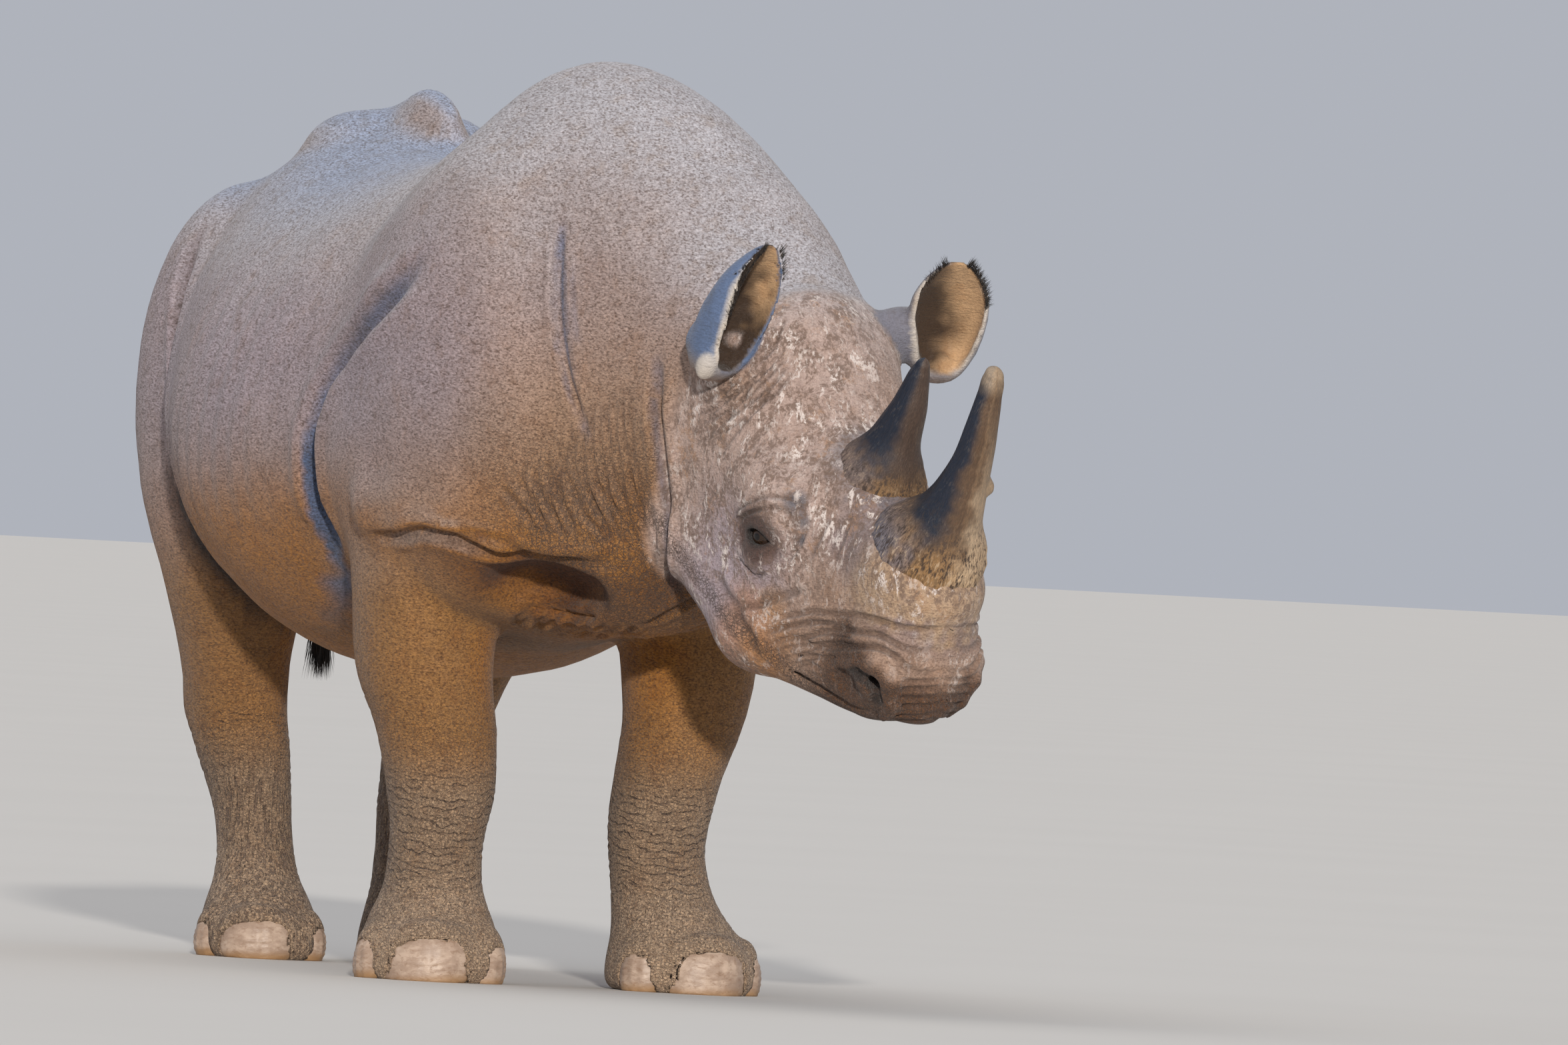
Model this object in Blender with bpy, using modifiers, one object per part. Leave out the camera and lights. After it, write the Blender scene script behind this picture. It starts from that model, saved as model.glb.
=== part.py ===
"""Black rhinoceros, life size: a still model standing square with its head lowered and turned.

Metres, +Z up.  The animal faces -Y, its left side is +X, the soles stand at Z = 0 and the origin
lies under the middle of the body.  The flesh is one blended form (station tables for the long masses,
ellipsoids and tapered rods for the muscles and bones over them), parted by thin cuts into the named
pieces; horns, eyes, nails and tail are made on their own and set in sockets.
"""

import bmesh
import bpy
import numpy as np
from mathutils import Matrix, Vector

# ---------------------------------------------------------------- driving dimensions (metres, degrees)
MIDDLE_Y = 0.148          # middle of the body behind the mid-point of the front feet
GAP = 0.0004              # clearance left by every cut and round every set-in piece
FLOOR = 0.002             # the soles and nails are trimmed flat at this height, then set down to zero
HEAD_AT = (0.119, -0.62, 1.037)     # back of the skull
HEAD_YAW, HEAD_PITCH, HEAD_ROLL = 20.4, 38.0, 5.0
EYE_AT, EYE_RADIUS = (0.323, 0.1415, -0.040), 0.0225
VOXEL = 0.016             # grain of the blended flesh before it is thinned out
FLESH_TRIANGLES = 2760
HEAD_KEEP = 0.007         # how strongly the head is spared when the flesh is thinned out

# Stations along the neck and trunk: y, centre x, top z, bottom z, widest z, half width, roundness
TRUNK = (
    (-.88, .225, 1.130, .800, .95, .130, 2.0), (-.74, .170, 1.215, .790, .98, .175, 2.2),
    (-.62, .130, 1.305, .765, 1.01, .212, 2.4), (-.50, .092, 1.405, .720, 1.02, .250, 2.45),
    (-.38, .055, 1.490, .670, 1.02, .282, 2.3), (-.22, .020, 1.573, .620, 1.00, .325, 2.05),
    (-.08, 0, 1.600, .600, .97, .350, 1.9), (.08, 0, 1.560, .585, .95, .375, 1.85),
    (.27, 0, 1.478, .565, .93, .415, 1.85), (.46, 0, 1.440, .535, .92, .455, 1.95),
    (.65, 0, 1.432, .515, .92, .475, 2.0), (.83, 0, 1.447, .525, .93, .476, 1.95),
    (1.00, 0, 1.480, .560, .96, .442, 1.9), (1.16, 0, 1.485, .650, 1.00, .392, 1.95),
    (1.30, 0, 1.445, .780, 1.03, .335, 2.05), (1.42, 0, 1.365, .900, 1.07, .258, 2.1),
    (1.50, 0, 1.270, .980, 1.08, .180, 2.0), (1.55, 0, 1.200, 1.020, 1.10, .110, 2.0),
)
# Stations up each leg: z, centre x, centre y, half width, reach behind, reach in front
FRONT_RIGHT = (
    (-.02, -.212, .020, .122, .128, .128), (.04, -.212, .020, .126, .133, .133),
    (.10, -.209, .028, .108, .112, .112), (.16, -.206, .038, .086, .088, .088),
    (.216, -.204, .042, .079, .082, .082), (.338, -.201, .040, .092, .100, .100),
    (.432, -.213, .043, .102, .118, .115), (.526, -.235, .052, .113, .145, .138),
    (.674, -.240, .065, .120, .175, .170), (.80, -.245, .065, .122, .185, .190),
    (.95, -.250, .075, .120, .220, .210),
)
FRONT_LEFT = (
    (-.02, .222, -.040, .122, .128, .128), (.04, .222, -.040, .126, .133, .133),
    (.10, .212, -.032, .108, .112, .112), (.16, .192, -.024, .088, .088, .088),
    (.238, .177, -.018, .081, .083, .083), (.306, .180, -.015, .085, .092, .092),
    (.374, .194, -.008, .090, .105, .104), (.456, .216, .004, .098, .120, .115),
    (.537, .228, .020, .109, .142, .135), (.674, .236, .050, .120, .172, .168),
    (.80, .246, .062, .122, .185, .190), (.95, .250, .075, .120, .220, .210),
)
HIND = (          # the left one; the right one is its mirror image, a hand's breadth less far back
    (-.02, .154, 1.280, .104, .110, .120), (.04, .154, 1.280, .108, .110, .128),
    (.09, .152, 1.294, .095, .100, .110), (.15, .151, 1.318, .075, .080, .085),
    (.234, .152, 1.341, .066, .078, .078), (.31, .163, 1.348, .072, .086, .088),
    (.373, .177, 1.350, .081, .101, .098), (.43, .191, 1.350, .086, .114, .104),
    (.50, .205, 1.322, .090, .112, .114), (.581, .219, 1.286, .105, .125, .135),
    (.68, .238, 1.244, .122, .155, .175), (.80, .252, 1.210, .133, .195, .225),
    (.95, .250, 1.190, .135, .210, .250), (1.10, .235, 1.190, .135, .210, .230),
)
HIND_RIGHT_FORWARD = 0.03
# Stations down the tail: z, centre x, centre y, half thickness; then the same for its tuft
TAIL = (
    (.62, .024, 1.552, .0130), (.68, .023, 1.556, .0175), (.80, .020, 1.562, .0230),
    (.92, .015, 1.566, .0270), (1.05, .008, 1.562, .0320), (1.16, .003, 1.536, .0390),
    (1.25, 0, 1.493, .0450), (1.33, 0, 1.430, .0480),
)
TUFT = (
    (.490, .026, 1.535, .0040), (.530, .026, 1.540, .0140), (.570, .025, 1.545, .0200),
    (.610, .024, 1.550, .0210), (.650, .024, 1.554, .0215),
)
# Stations along the head, from the nape forward: u, top, bottom, widest v, half width, roundness
HEAD = (
    (-.10, .100, -.100, 0, .120, 2.0), (-.04, .170, -.140, 0, .145, 2.0),
    (.02, .235, -.190, 0, .160, 2.0), (.07, .240, -.220, -.010, .166, 2.05),
    (.12, .220, -.240, -.030, .168, 2.1), (.20, .175, -.250, -.050, .169, 2.2),
    (.28, .142, -.240, -.060, .163, 2.2), (.36, .126, -.222, -.060, .148, 2.2),
    (.44, .118, -.205, -.050, .124, 2.2), (.52, .116, -.195, -.045, .112, 2.3),
    (.60, .102, -.175, -.045, .106, 2.3), (.65, .072, -.160, -.045, .098, 2.2),
    (.69, .030, -.140, -.050, .082, 2.1), (.726, -.018, -.115, -.060, .048, 2.0),
)
# Stations up each horn: v, centre u, half length, half width
FRONT_HORN = (
    (.085, .552, .098, .088), (.12, .552, .106, .095), (.16, .556, .088, .082),
    (.20, .560, .066, .062), (.26, .560, .049, .046), (.32, .553, .038, .037),
    (.38, .542, .030, .030), (.43, .530, .024, .024), (.465, .521, .018, .018),
    (.485, .516, .008, .008),
)
REAR_HORN = (
    (.095, .372, .078, .070), (.135, .372, .083, .077), (.165, .370, .066, .060),
    (.20, .368, .048, .044), (.25, .364, .035, .033), (.30, .358, .025, .024),
    (.345, .351, .014, .014), (.366, .348, .005, .005),
)
# Stations up each ear: share of its length, half width, half depth, half angle of its slit in degrees
EAR = (
    (-.02, .022, .020, 30.0), (.06, .040, .036, 32.0), (.18, .055, .048, 40.0), (.36, .066, .054, 48.0),
    (.56, .070, .052, 54.0), (.74, .064, .044, 60.0), (.88, .047, .032, 64.0), (.97, .028, .020, 66.0),
    (1.02, .013, .011, 68.0),
)
EAR_ENDS = {"right": ((.088, -.205, .122), (.052, -.152, .368)),      # foot and tip of the cup
            "left": ((.112, .260, .118), (.085, .224, .350))}
EAR_STALK = {"right": ((.046, -.162, .165), (.040, .070, .052)),      # middle and radii of its root
             "left": ((.060, .190, .175), (.040, .085, .052))}
EAR_WALL, EAR_HOLLOW_FROM = 0.010, 0.16
# Nails of one foot: bearing from its middle toe, half width, half height; then how far the toes turn out
NAILS = (("outer", -62.0, .043, .046), ("middle", 0.0, .079, .054), ("inner", 62.0, .043, .046))
TOES_OUT = {"right": 17.0, "left": 9.0}
NAIL_BEND = 0.125         # radius to which each nail is bent round the foot


# ------------------------------------------------------------------------------------ smooth tables
def spline(rows):
    """Smooth curve through a table's rows: returns the finely stepped first column and the others."""
    rows = np.array(rows, float)
    t, v = rows[:, 0], rows[:, 1:]
    step = np.diff(t)[:, None]
    slope = np.diff(v, axis=0) / step
    tangent = np.vstack([slope[:1], (slope[:-1] * step[1:] + slope[1:] * step[:-1])
                         / (step[1:] + step[:-1]), slope[-1:]])
    q = np.linspace(t[0], t[-1], 241)
    i = np.clip(np.searchsorted(t, q) - 1, 0, len(t) - 2)
    h = (t[i + 1] - t[i])[:, None]
    w = (q[:, None] - t[i][:, None]) / h
    curve = ((2 * w**3 - 3 * w**2 + 1) * v[i] + (w**3 - 2 * w**2 + w) * h * tangent[i]
             + (3 * w**2 - 2 * w**3) * v[i + 1] + (w**3 - w**2) * h * tangent[i + 1])
    return q, curve


def at(table, t):
    return [np.interp(t, table[0], column) for column in table[1].T]


def level_table(rows):
    """Rows of (t, x, top, bottom, widest, half width, n) as (x, widest, half width, up, down, n)."""
    return spline([(t, x, m, w, top - m, m - low, n) for t, x, top, low, m, w, n in rows])


def mirrored_hind(rows):
    """The right hind leg: the left one mirrored, its lower part set a little further forward."""
    out = []
    for z, x, y, half, back, front in rows:
        share = max(0.0, 1 - max(z, 0) / 0.8)
        out.append((z, -x, y - HIND_RIGHT_FORWARD * share * share * (3 - 2 * share), half, back, front))
    return tuple(out)


LEGS = {"front_left": FRONT_LEFT, "front_right": FRONT_RIGHT,
        "hind_left": HIND, "hind_right": mirrored_hind(HIND)}
LEG_TABLES = {name: spline(rows) for name, rows in LEGS.items()}
TRUNK_TABLE = level_table(TRUNK)
HEAD_TABLE = level_table([(u, 0, top, low, m, w, n) for u, top, low, m, w, n in HEAD])
EAR_TABLE = spline(EAR)


# ----------------------------------------------------------------------------------- the head's frame
def head_axes():
    """Unit vectors of the head: forward (u), to its left (s) and up off its brow (v)."""
    yaw, pitch, roll = (np.radians(a) for a in (HEAD_YAW, HEAD_PITCH, HEAD_ROLL))
    forward = np.array([np.cos(pitch) * np.sin(yaw), -np.cos(pitch) * np.cos(yaw), -np.sin(pitch)])
    up = np.array([np.sin(pitch) * np.sin(yaw), -np.sin(pitch) * np.cos(yaw), np.cos(pitch)])
    left = np.array([np.cos(yaw), np.sin(yaw), 0.0])
    return np.array([forward, left * np.cos(roll) + up * np.sin(roll),
                     up * np.cos(roll) - left * np.sin(roll)])


AXES = head_axes()


def to_head(p):
    return (p - np.array(HEAD_AT)) @ AXES.T


def from_head(h):
    return np.asarray(h, float) @ AXES + np.array(HEAD_AT)


# --------------------------------------------------------------------------------------- blended form
def join(a, b, k):
    """Union of two forms, rounded over a width k."""
    h = np.maximum(k - np.abs(a - b), 0) / k
    return np.minimum(a, b) - h * h * k / 4


def keep(a, b, k):
    """What two forms share, rounded over a width k."""
    return -join(-a, -b, k)


def oval(p, centre, radii):
    d, r = p - np.array(centre), np.array(radii)
    near = np.sqrt(((d / r) ** 2).sum(-1)) + 1e-9
    slope = np.sqrt(((d / r**2) ** 2).sum(-1)) + 1e-9
    return near * (near - 1) / slope


def rod(p, a, b, ra, rb):
    """Tapered rod with round ends."""
    a, b = np.array(a, float), np.array(b, float)
    t = np.clip((p - a) @ (b - a) / ((b - a) @ (b - a)), 0, 1)
    return np.linalg.norm(p - a - t[..., None] * (b - a), axis=-1) - (ra + (rb - ra) * t)


def section(dx, dz, half, up, down, n):
    """Distance outside an oval section with its own reach upward and downward."""
    h = np.where(dz > 0, up, down)
    q = (np.abs(dx / half) ** n + np.abs(dz / h) ** n) ** (1 / n) + 1e-9
    r = np.hypot(dx, dz) + 1e-9
    return r - r / q


def between(t, table, d, k):
    """Closes the ends of a form made along t, rounding them over k."""
    return keep(d, np.maximum(table[0][0] - t, t - table[0][-1]), k)


# Muscles and bones over the long masses, as (centre, radii, blend); the first three come in pairs
PAIRED_TRUNK = (((.215, -.08, 1.03), (.165, .33, .38), .12),     # shoulder blade
                ((.270, .085, .90), (.125, .19, .185), .06),       # triceps
                ((.225, 1.27, 1.00), (.190, .235, .375), .035))  # haunch
SINGLE_TRUNK = (((0, .985, 1.458), (.046, .17, .092), .055),     # crest of the hips
                ((-.095, 1.13, 1.438), (.065, .10, .062), .05),  # right hip bone
                ((.095, 1.13, 1.438), (.065, .10, .062), .05),   # left hip bone
                ((0, 1.20, 1.42), (.12, .13, .075), .08),        # croup
                ((.02, -.38, .80), (.19, .18, .16), .12))        # brisket
PAIRED_HEAD = (((.285, .125, .020), (.080, .042, .045), .05),    # brow
               ((.640, .066, -.060), (.060, .045, .055), .04),   # side of the nostril
               ((.050, .135, .130), (.055, .048, .062), .05))    # root of the ear
SINGLE_HEAD = (((.555, 0, .075), (.130, .105, .070), .05),       # nasal boss under the front horn
               ((.375, 0, .100), (.090, .085, .050), .05),       # seat of the rear horn
               ((.685, 0, -.092), (.050, .058, .045), .04))      # pointed upper lip
JAW = (((.14, .085, -.195), (.34, .078, -.215), .085, .082),
       ((.34, .078, -.215), (.60, .032, -.136), .082, .056))


def both_sides(masses):
    return [((x, s * y, z) if axis else (s * x, y, z), radii, k)
            for axis, rows in masses for (x, y, z), radii, k in rows for s in (-1, 1)]


TRUNK_MASSES = both_sides([(0, PAIRED_TRUNK)]) + list(SINGLE_TRUNK)
HEAD_MASSES = both_sides([(1, PAIRED_HEAD)]) + list(SINGLE_HEAD)
JAW_RODS = [((a[0], s * a[1], a[2]), (b[0], s * b[1], b[2]), ra, rb) for s in (-1, 1)
            for a, b, ra, rb in JAW]


def trunk_form(p):
    x, widest, half, up, down, n = at(TRUNK_TABLE, p[..., 1])
    d = between(p[..., 1], TRUNK_TABLE, section(p[..., 0] - x, p[..., 2] - widest, half, up, down, n), .16)
    for centre, radii, k in TRUNK_MASSES:
        d = join(d, oval(p, centre, radii), k)
    return d


def leg_form(p, table):
    x, y, half, back, front = at(table, p[..., 2])
    d = section(p[..., 0] - x, p[..., 1] - y, half, back, front, 2.2)
    return keep(keep(d, -p[..., 2], .03), p[..., 2] - table[0][-1], .15)


def head_form(h):
    x, widest, half, up, down, n = at(HEAD_TABLE, h[..., 0])
    d = between(h[..., 0], HEAD_TABLE, section(h[..., 1] - x, h[..., 2] - widest, half, up, down, n), .05)
    jaw = None
    for a, b, ra, rb in JAW_RODS:
        r = rod(h, a, b, ra, rb)
        jaw = r if jaw is None else join(jaw, r, .03)
    d = join(d, jaw, .06)
    for centre, radii, k in HEAD_MASSES:
        d = join(d, oval(h, centre, radii), k)
    return d


def flesh_form(p):
    d = trunk_form(p)
    for name, table in LEG_TABLES.items():
        d = join(d, leg_form(p, table), .045 if "front" in name else .05)
    return join(d, head_form(to_head(p)), .045)


# ------------------------------------------------------------------------------------- Blender helpers
def clear_scene():
    for obj in list(bpy.data.objects):
        bpy.data.objects.remove(obj)
    for coll in list(bpy.data.collections):
        bpy.data.collections.remove(coll)


def collection(name):
    coll = bpy.data.collections.new(name)
    bpy.context.scene.collection.children.link(coll)
    return coll


def material(name, colour, roughness, coat=0.0):
    mat = bpy.data.materials.new(name)
    mat.use_nodes = True
    bsdf = mat.node_tree.nodes["Principled BSDF"]
    bsdf.inputs["Base Color"].default_value = (*colour, 1)
    bsdf.inputs["Roughness"].default_value = roughness
    bsdf.inputs["Metallic"].default_value = 0.0
    bsdf.inputs["Coat Weight"].default_value = coat
    mat.diffuse_color = (*colour, 1)
    return mat


def mesh_object(name, coll, points, faces):
    mesh = bpy.data.meshes.new(name)
    mesh.from_pydata([tuple(map(float, p)) for p in points], [], [tuple(map(int, f)) for f in faces])
    obj = bpy.data.objects.new(name, mesh)
    coll.objects.link(obj)
    bm = bmesh.new()
    bm.from_mesh(mesh)
    bmesh.ops.recalc_face_normals(bm, faces=bm.faces)
    bm.to_mesh(mesh)
    bm.free()
    return obj


def sphere(name, coll, centre, radii, turn=None, around=16, high=10):
    """UV sphere stretched to an oval."""
    bm = bmesh.new()
    bmesh.ops.create_uvsphere(bm, u_segments=around, v_segments=high, radius=1.0)
    place = Matrix.Translation(Vector(centre)) @ (turn or Matrix.Identity(4)) @ Matrix.Diagonal((*radii, 1))
    bmesh.ops.transform(bm, matrix=place, verts=bm.verts)
    mesh = bpy.data.meshes.new(name)
    bm.to_mesh(mesh)
    bm.free()
    obj = bpy.data.objects.new(name, mesh)
    coll.objects.link(obj)
    return obj


def rings_to_tube(name, coll, rings):
    """Closed body through a list of rings of equal count, capped with a flat face at both ends."""
    count = len(rings[0])
    points = np.concatenate(rings)
    faces = [[i * count + j, i * count + (j + 1) % count, (i + 1) * count + (j + 1) % count,
              (i + 1) * count + j] for i in range(len(rings) - 1) for j in range(count)]
    faces += [list(range(count))[::-1], list(range((len(rings) - 1) * count, len(rings) * count))]
    return mesh_object(name, coll, points, faces)


def oval_ring(half, up, down, n, count):
    """Points round an oval section, as (sideways, upward) offsets."""
    a = np.linspace(0, 2 * np.pi, count, endpoint=False)
    c, s = np.cos(a), np.sin(a)
    return (half * np.sign(c) * np.abs(c) ** (2 / n),
            np.where(s > 0, up, down) * np.sign(s) * np.abs(s) ** (2 / n))


def apply_modifier(obj, kind, **settings):
    mod = obj.modifiers.new(kind.title(), kind)
    for key, value in settings.items():
        setattr(mod, key, value)
    done = bpy.data.meshes.new_from_object(obj.evaluated_get(bpy.context.evaluated_depsgraph_get()))
    obj.modifiers.clear()
    old, obj.data = obj.data, done
    bpy.data.meshes.remove(old)
    obj.data.name = obj.name


def boolean(obj, other, operation):
    apply_modifier(obj, "BOOLEAN", operation=operation, object=other, solver="EXACT",
                   double_threshold=0.0)


def copy_of(obj, name, coll):
    twin = bpy.data.objects.new(name, obj.data.copy())
    coll.objects.link(twin)
    return twin


def swollen(obj, name, coll, by):
    """Copy of a piece with its surface moved out by a small distance."""
    twin = copy_of(obj, name, coll)
    bm = bmesh.new()
    bm.from_mesh(twin.data)
    bm.normal_update()
    moves = [v.normal * by * v.calc_shell_factor() for v in bm.verts]
    for v, move in zip(bm.verts, moves):
        v.co += move
    bm.to_mesh(twin.data)
    bm.free()
    return twin


def drop_crumbs(obj):
    """Leaves only the largest connected body of a piece."""
    bm = bmesh.new()
    bm.from_mesh(obj.data)
    bodies, seen = [], set()
    for start in bm.verts:
        if start in seen:
            continue
        body, edge = {start}, [start]
        while edge:
            v = edge.pop()
            for link in v.link_edges:
                other = link.other_vert(v)
                if other not in body:
                    body.add(other)
                    edge.append(other)
        seen |= body
        bodies.append(body)
    whole = max(bodies, key=len)
    bmesh.ops.delete(bm, geom=[v for v in bm.verts if v not in whole], context="VERTS")
    bm.to_mesh(obj.data)
    bm.free()


def settle(obj, form, rounds=3):
    """Moves every vertex along the form's slope until it lies on the form."""
    p = np.empty(len(obj.data.vertices) * 3)
    obj.data.vertices.foreach_get("co", p)
    p = p.reshape(-1, 3)
    for _ in range(rounds):
        f = form(p)
        grad = np.stack([form(p + e) - form(p - e) for e in np.eye(3) * 5e-4], -1) / 1e-3
        step = f[:, None] * grad / np.maximum((grad**2).sum(-1, keepdims=True), 0.2)
        p = p - np.clip(step, -0.02, 0.02)
    obj.data.vertices.foreach_set("co", p.ravel())
    obj.data.update()


# ------------------------------------------------------------------------------------------ the flesh
def rough_masses(coll):
    """Overlapping primitives and lofts that the blended flesh is drawn from."""
    parts = []
    rings = []
    for y in np.linspace(TRUNK[0][0], TRUNK[-1][0], 34):
        x, widest, half, up, down, n = at(TRUNK_TABLE, y)
        a, b = oval_ring(half, up, down, n, 40)
        rings.append(np.stack([x + a, np.full_like(a, y), widest + b], -1))
    parts.append(rings_to_tube("rough_trunk", coll, rings))
    for name, table in LEG_TABLES.items():
        rings = []
        for z in np.linspace(0.0, table[0][-1] - 0.05, 24):
            x, y, half, back, front = at(table, z)
            a, b = oval_ring(half, back, front, 2.2, 28)
            rings.append(np.stack([x + a, y + b, np.full_like(a, z)], -1))
        parts.append(rings_to_tube("rough_" + name, coll, rings))
    rings = []
    for u in np.linspace(HEAD[0][0], HEAD[-1][0], 28):
        x, widest, half, up, down, n = at(HEAD_TABLE, u)
        a, b = oval_ring(half, up, down, n, 36)
        rings.append(from_head(np.stack([np.full_like(a, u), x + a, widest + b], -1)))
    parts.append(rings_to_tube("rough_head", coll, rings))
    for i, (centre, radii, _) in enumerate(TRUNK_MASSES):
        parts.append(sphere(f"rough_mass_{i}", coll, centre, radii, None, 24, 16))
    turn = Matrix(AXES.T.tolist()).to_4x4()
    for i, (centre, radii, _) in enumerate(HEAD_MASSES):
        parts.append(sphere(f"rough_bone_{i}", coll, from_head(centre), radii, turn, 24, 16))
    for i, (a, b, ra, rb) in enumerate(JAW_RODS):
        for end, r in ((a, ra), (b, rb)):
            parts.append(sphere(f"rough_jaw_{i}", coll, from_head(end), (r, r, r), None, 20, 14))
        bm = bmesh.new()
        bmesh.ops.create_cone(bm, cap_ends=True, segments=20, radius1=ra, radius2=rb,
                              depth=float(np.linalg.norm(np.subtract(b, a))))
        start, end = Vector(from_head(a)), Vector(from_head(b))
        aim = (end - start).to_track_quat("Z", "Y").to_matrix().to_4x4()
        bmesh.ops.transform(bm, matrix=Matrix.Translation((start + end) / 2) @ aim, verts=bm.verts)
        mesh = bpy.data.meshes.new("rough_ramus")
        bm.to_mesh(mesh)
        bm.free()
        obj = bpy.data.objects.new("rough_ramus", mesh)
        coll.objects.link(obj)
        parts.append(obj)
    return parts


def make_flesh(coll):
    """All the masses as one skin, blended, settled on the form and thinned to a modest mesh."""
    parts = rough_masses(coll)
    bm = bmesh.new()
    for part in parts:
        bm.from_mesh(part.data)
    mesh = bpy.data.meshes.new("flesh")
    bm.to_mesh(mesh)
    bm.free()
    for part in parts:
        bpy.data.objects.remove(part)
    flesh = bpy.data.objects.new("flesh", mesh)
    coll.objects.link(flesh)
    apply_modifier(flesh, "REMESH", mode="VOXEL", voxel_size=VOXEL)
    settle(flesh, flesh_form)
    p = np.array([v.co for v in flesh.data.vertices])
    spared = np.clip((0.05 - head_form(to_head(p))) / 0.06, 0, 1)
    group = flesh.vertex_groups.new(name="thin")
    for i, share in enumerate(1 - spared):
        group.add([i], float(share), "REPLACE")
    apply_modifier(flesh, "DECIMATE", ratio=FLESH_TRIANGLES / (2 * len(flesh.data.polygons)),
                   vertex_group="thin", vertex_group_factor=HEAD_KEEP, use_collapse_triangulate=True)
    settle(flesh, flesh_form, 2)
    return flesh


# ---------------------------------------------------------------------------------- set-in pieces
def make_horn(name, coll, rows, count=12):
    table = spline(rows)
    rings = []
    for v in np.linspace(rows[0][0], rows[-1][0], 10):
        u, length, half = at(table, v)
        a, b = oval_ring(half, length, length, 2.1, count)
        rings.append(from_head(np.stack([u + b, a, np.full_like(a, v)], -1)))
    return rings_to_tube(name, coll, rings)


def make_hanging(name, coll, rows, levels, count=9):
    """Tail or tuft: round sections down a table of levels."""
    table = spline(rows)
    rings = []
    for z in levels:
        x, y, r = at(table, z)
        a, b = oval_ring(r, r, r, 2.0, count)
        rings.append(np.stack([x + a, y + b, np.full_like(a, z)], -1))
    return rings_to_tube(name, coll, rings)


def ear_frame(side):
    """Foot, length and axes (along, across, out of the cup) of an ear, in the head's frame."""
    foot, tip = (np.array(q, float) for q in EAR_ENDS[side])
    along = tip - foot
    length = np.linalg.norm(along)
    along = along / length
    out = np.array([1.0, 0, 0]) - along[0] * along
    out /= np.linalg.norm(out)
    return foot, length, along, np.cross(out, along), out


def make_ear(side, coll, half=6):
    """Upright cup with an even wall, open by a slit in front, on a stalk that enters the skull."""
    foot, length, along, across, out = ear_frame(side)
    rings = []
    for t in (-.02, .06, .18, .34, .54, .72, .86, .96, 1.02):
        wide, deep, slit = at(EAR_TABLE, t)
        hollow = np.clip((t - EAR_HOLLOW_FROM) / 0.2, 0, 1)
        less = min(EAR_WALL, 0.4 * deep)

        def arc(start, end, inset):
            a = np.radians(np.linspace(start, end, half))
            return np.stack([np.cos(a) * (deep - inset), np.sin(a) * (wide - inset)], -1)

        back = arc(slit, 360 - slit, 0)
        cup, front = arc(356 - slit, slit + 4, less), arc(4 - slit, slit - 4, 0)
        ring = np.concatenate([back, cup * hollow + front * (1 - hollow)])
        rings.append(from_head(foot + along * t * length + ring[:, :1] * out + ring[:, 1:] * across))
    ear = rings_to_tube("ear_" + side, coll, rings)
    centre, radii = EAR_STALK[side]
    stalk = sphere("stalk_" + side, coll, from_head(centre), radii, Matrix(AXES.T.tolist()).to_4x4(), 8, 6)
    boolean(ear, stalk, "UNION")
    bpy.data.objects.remove(stalk)
    return ear


def make_nail(name, coll, foot, bearing, half, height, side):
    """Domed nail bent round the rim of a foot, at a bearing from straight ahead."""
    x, y, wide, back, front = at(LEG_TABLES[foot], 0.035)
    turn = np.radians(bearing * side)
    direction = np.array([np.sin(turn), -np.cos(turn), 0.0])
    reach = 1 / np.sqrt((direction[0] / wide) ** 2 + (direction[1] / front) ** 2)
    centre = np.array([x, y, 0.030]) + direction * (reach - 0.016)
    nail = sphere(name, coll, (0, 0, 0), (half, 0.026, height), None, 8, 5)
    bm = bmesh.new()
    bm.from_mesh(nail.data)
    bmesh.ops.triangulate(bm, faces=bm.faces)
    for v in bm.verts:
        v.co.y += NAIL_BEND - np.sqrt(NAIL_BEND**2 - v.co.x**2)
    bmesh.ops.transform(bm, matrix=Matrix.Translation(Vector(centre)) @ Matrix.Rotation(turn, 4, "Z"),
                        verts=bm.verts)
    bm.to_mesh(nail.data)
    bm.free()
    return nail


# ------------------------------------------------------------------------------------------ assembling
def box(name, coll, low, high, turn=None):
    bm = bmesh.new()
    bmesh.ops.create_cube(bm, size=1.0)
    low, high = np.array(low, float), np.array(high, float)
    place = (turn or Matrix.Identity(4)) @ Matrix.Translation(Vector((low + high) / 2)) \
        @ Matrix.Diagonal((*(high - low), 1))
    bmesh.ops.transform(bm, matrix=place, verts=bm.verts)
    mesh = bpy.data.meshes.new(name)
    bm.to_mesh(mesh)
    bm.free()
    obj = bpy.data.objects.new(name, mesh)
    coll.objects.link(obj)
    return obj


def leg_cutter(name, coll, top, ease):
    """Sleeve round a leg, a little wider than it and closed at the top by a dome."""
    table = LEG_TABLES[name]
    rings = []
    for z in (-0.08, 0.10, 0.24, 0.45, top - 0.06, top):
        x, y, half, back, front = at(table, max(z, 0.0))
        grow = 1 + 0.35 * np.clip((z - 0.25) / 0.3, 0, 1)
        dome = np.sqrt(max(1 - (max(z - (top - 0.10), 0) / 0.10) ** 2, 0.05))
        a, b = oval_ring(half * grow * dome + 0.04 + ease, back * grow * dome + 0.04 + ease,
                         front * grow * dome + 0.04 + ease, 2.2, 9)
        rings.append(np.stack([x + a, y + b, np.full_like(a, z + (ease if z > top - 0.01 else 0))], -1))
    return rings_to_tube("sleeve_" + name, coll, rings)


def split(obj, cutter, wider, name, coll):
    """Parts a piece: what lies inside the cutter becomes a new piece, the rest keeps clear of it."""
    inside = copy_of(obj, name, coll)
    boolean(inside, cutter, "INTERSECT")
    boolean(obj, wider, "DIFFERENCE")
    return inside


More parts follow.
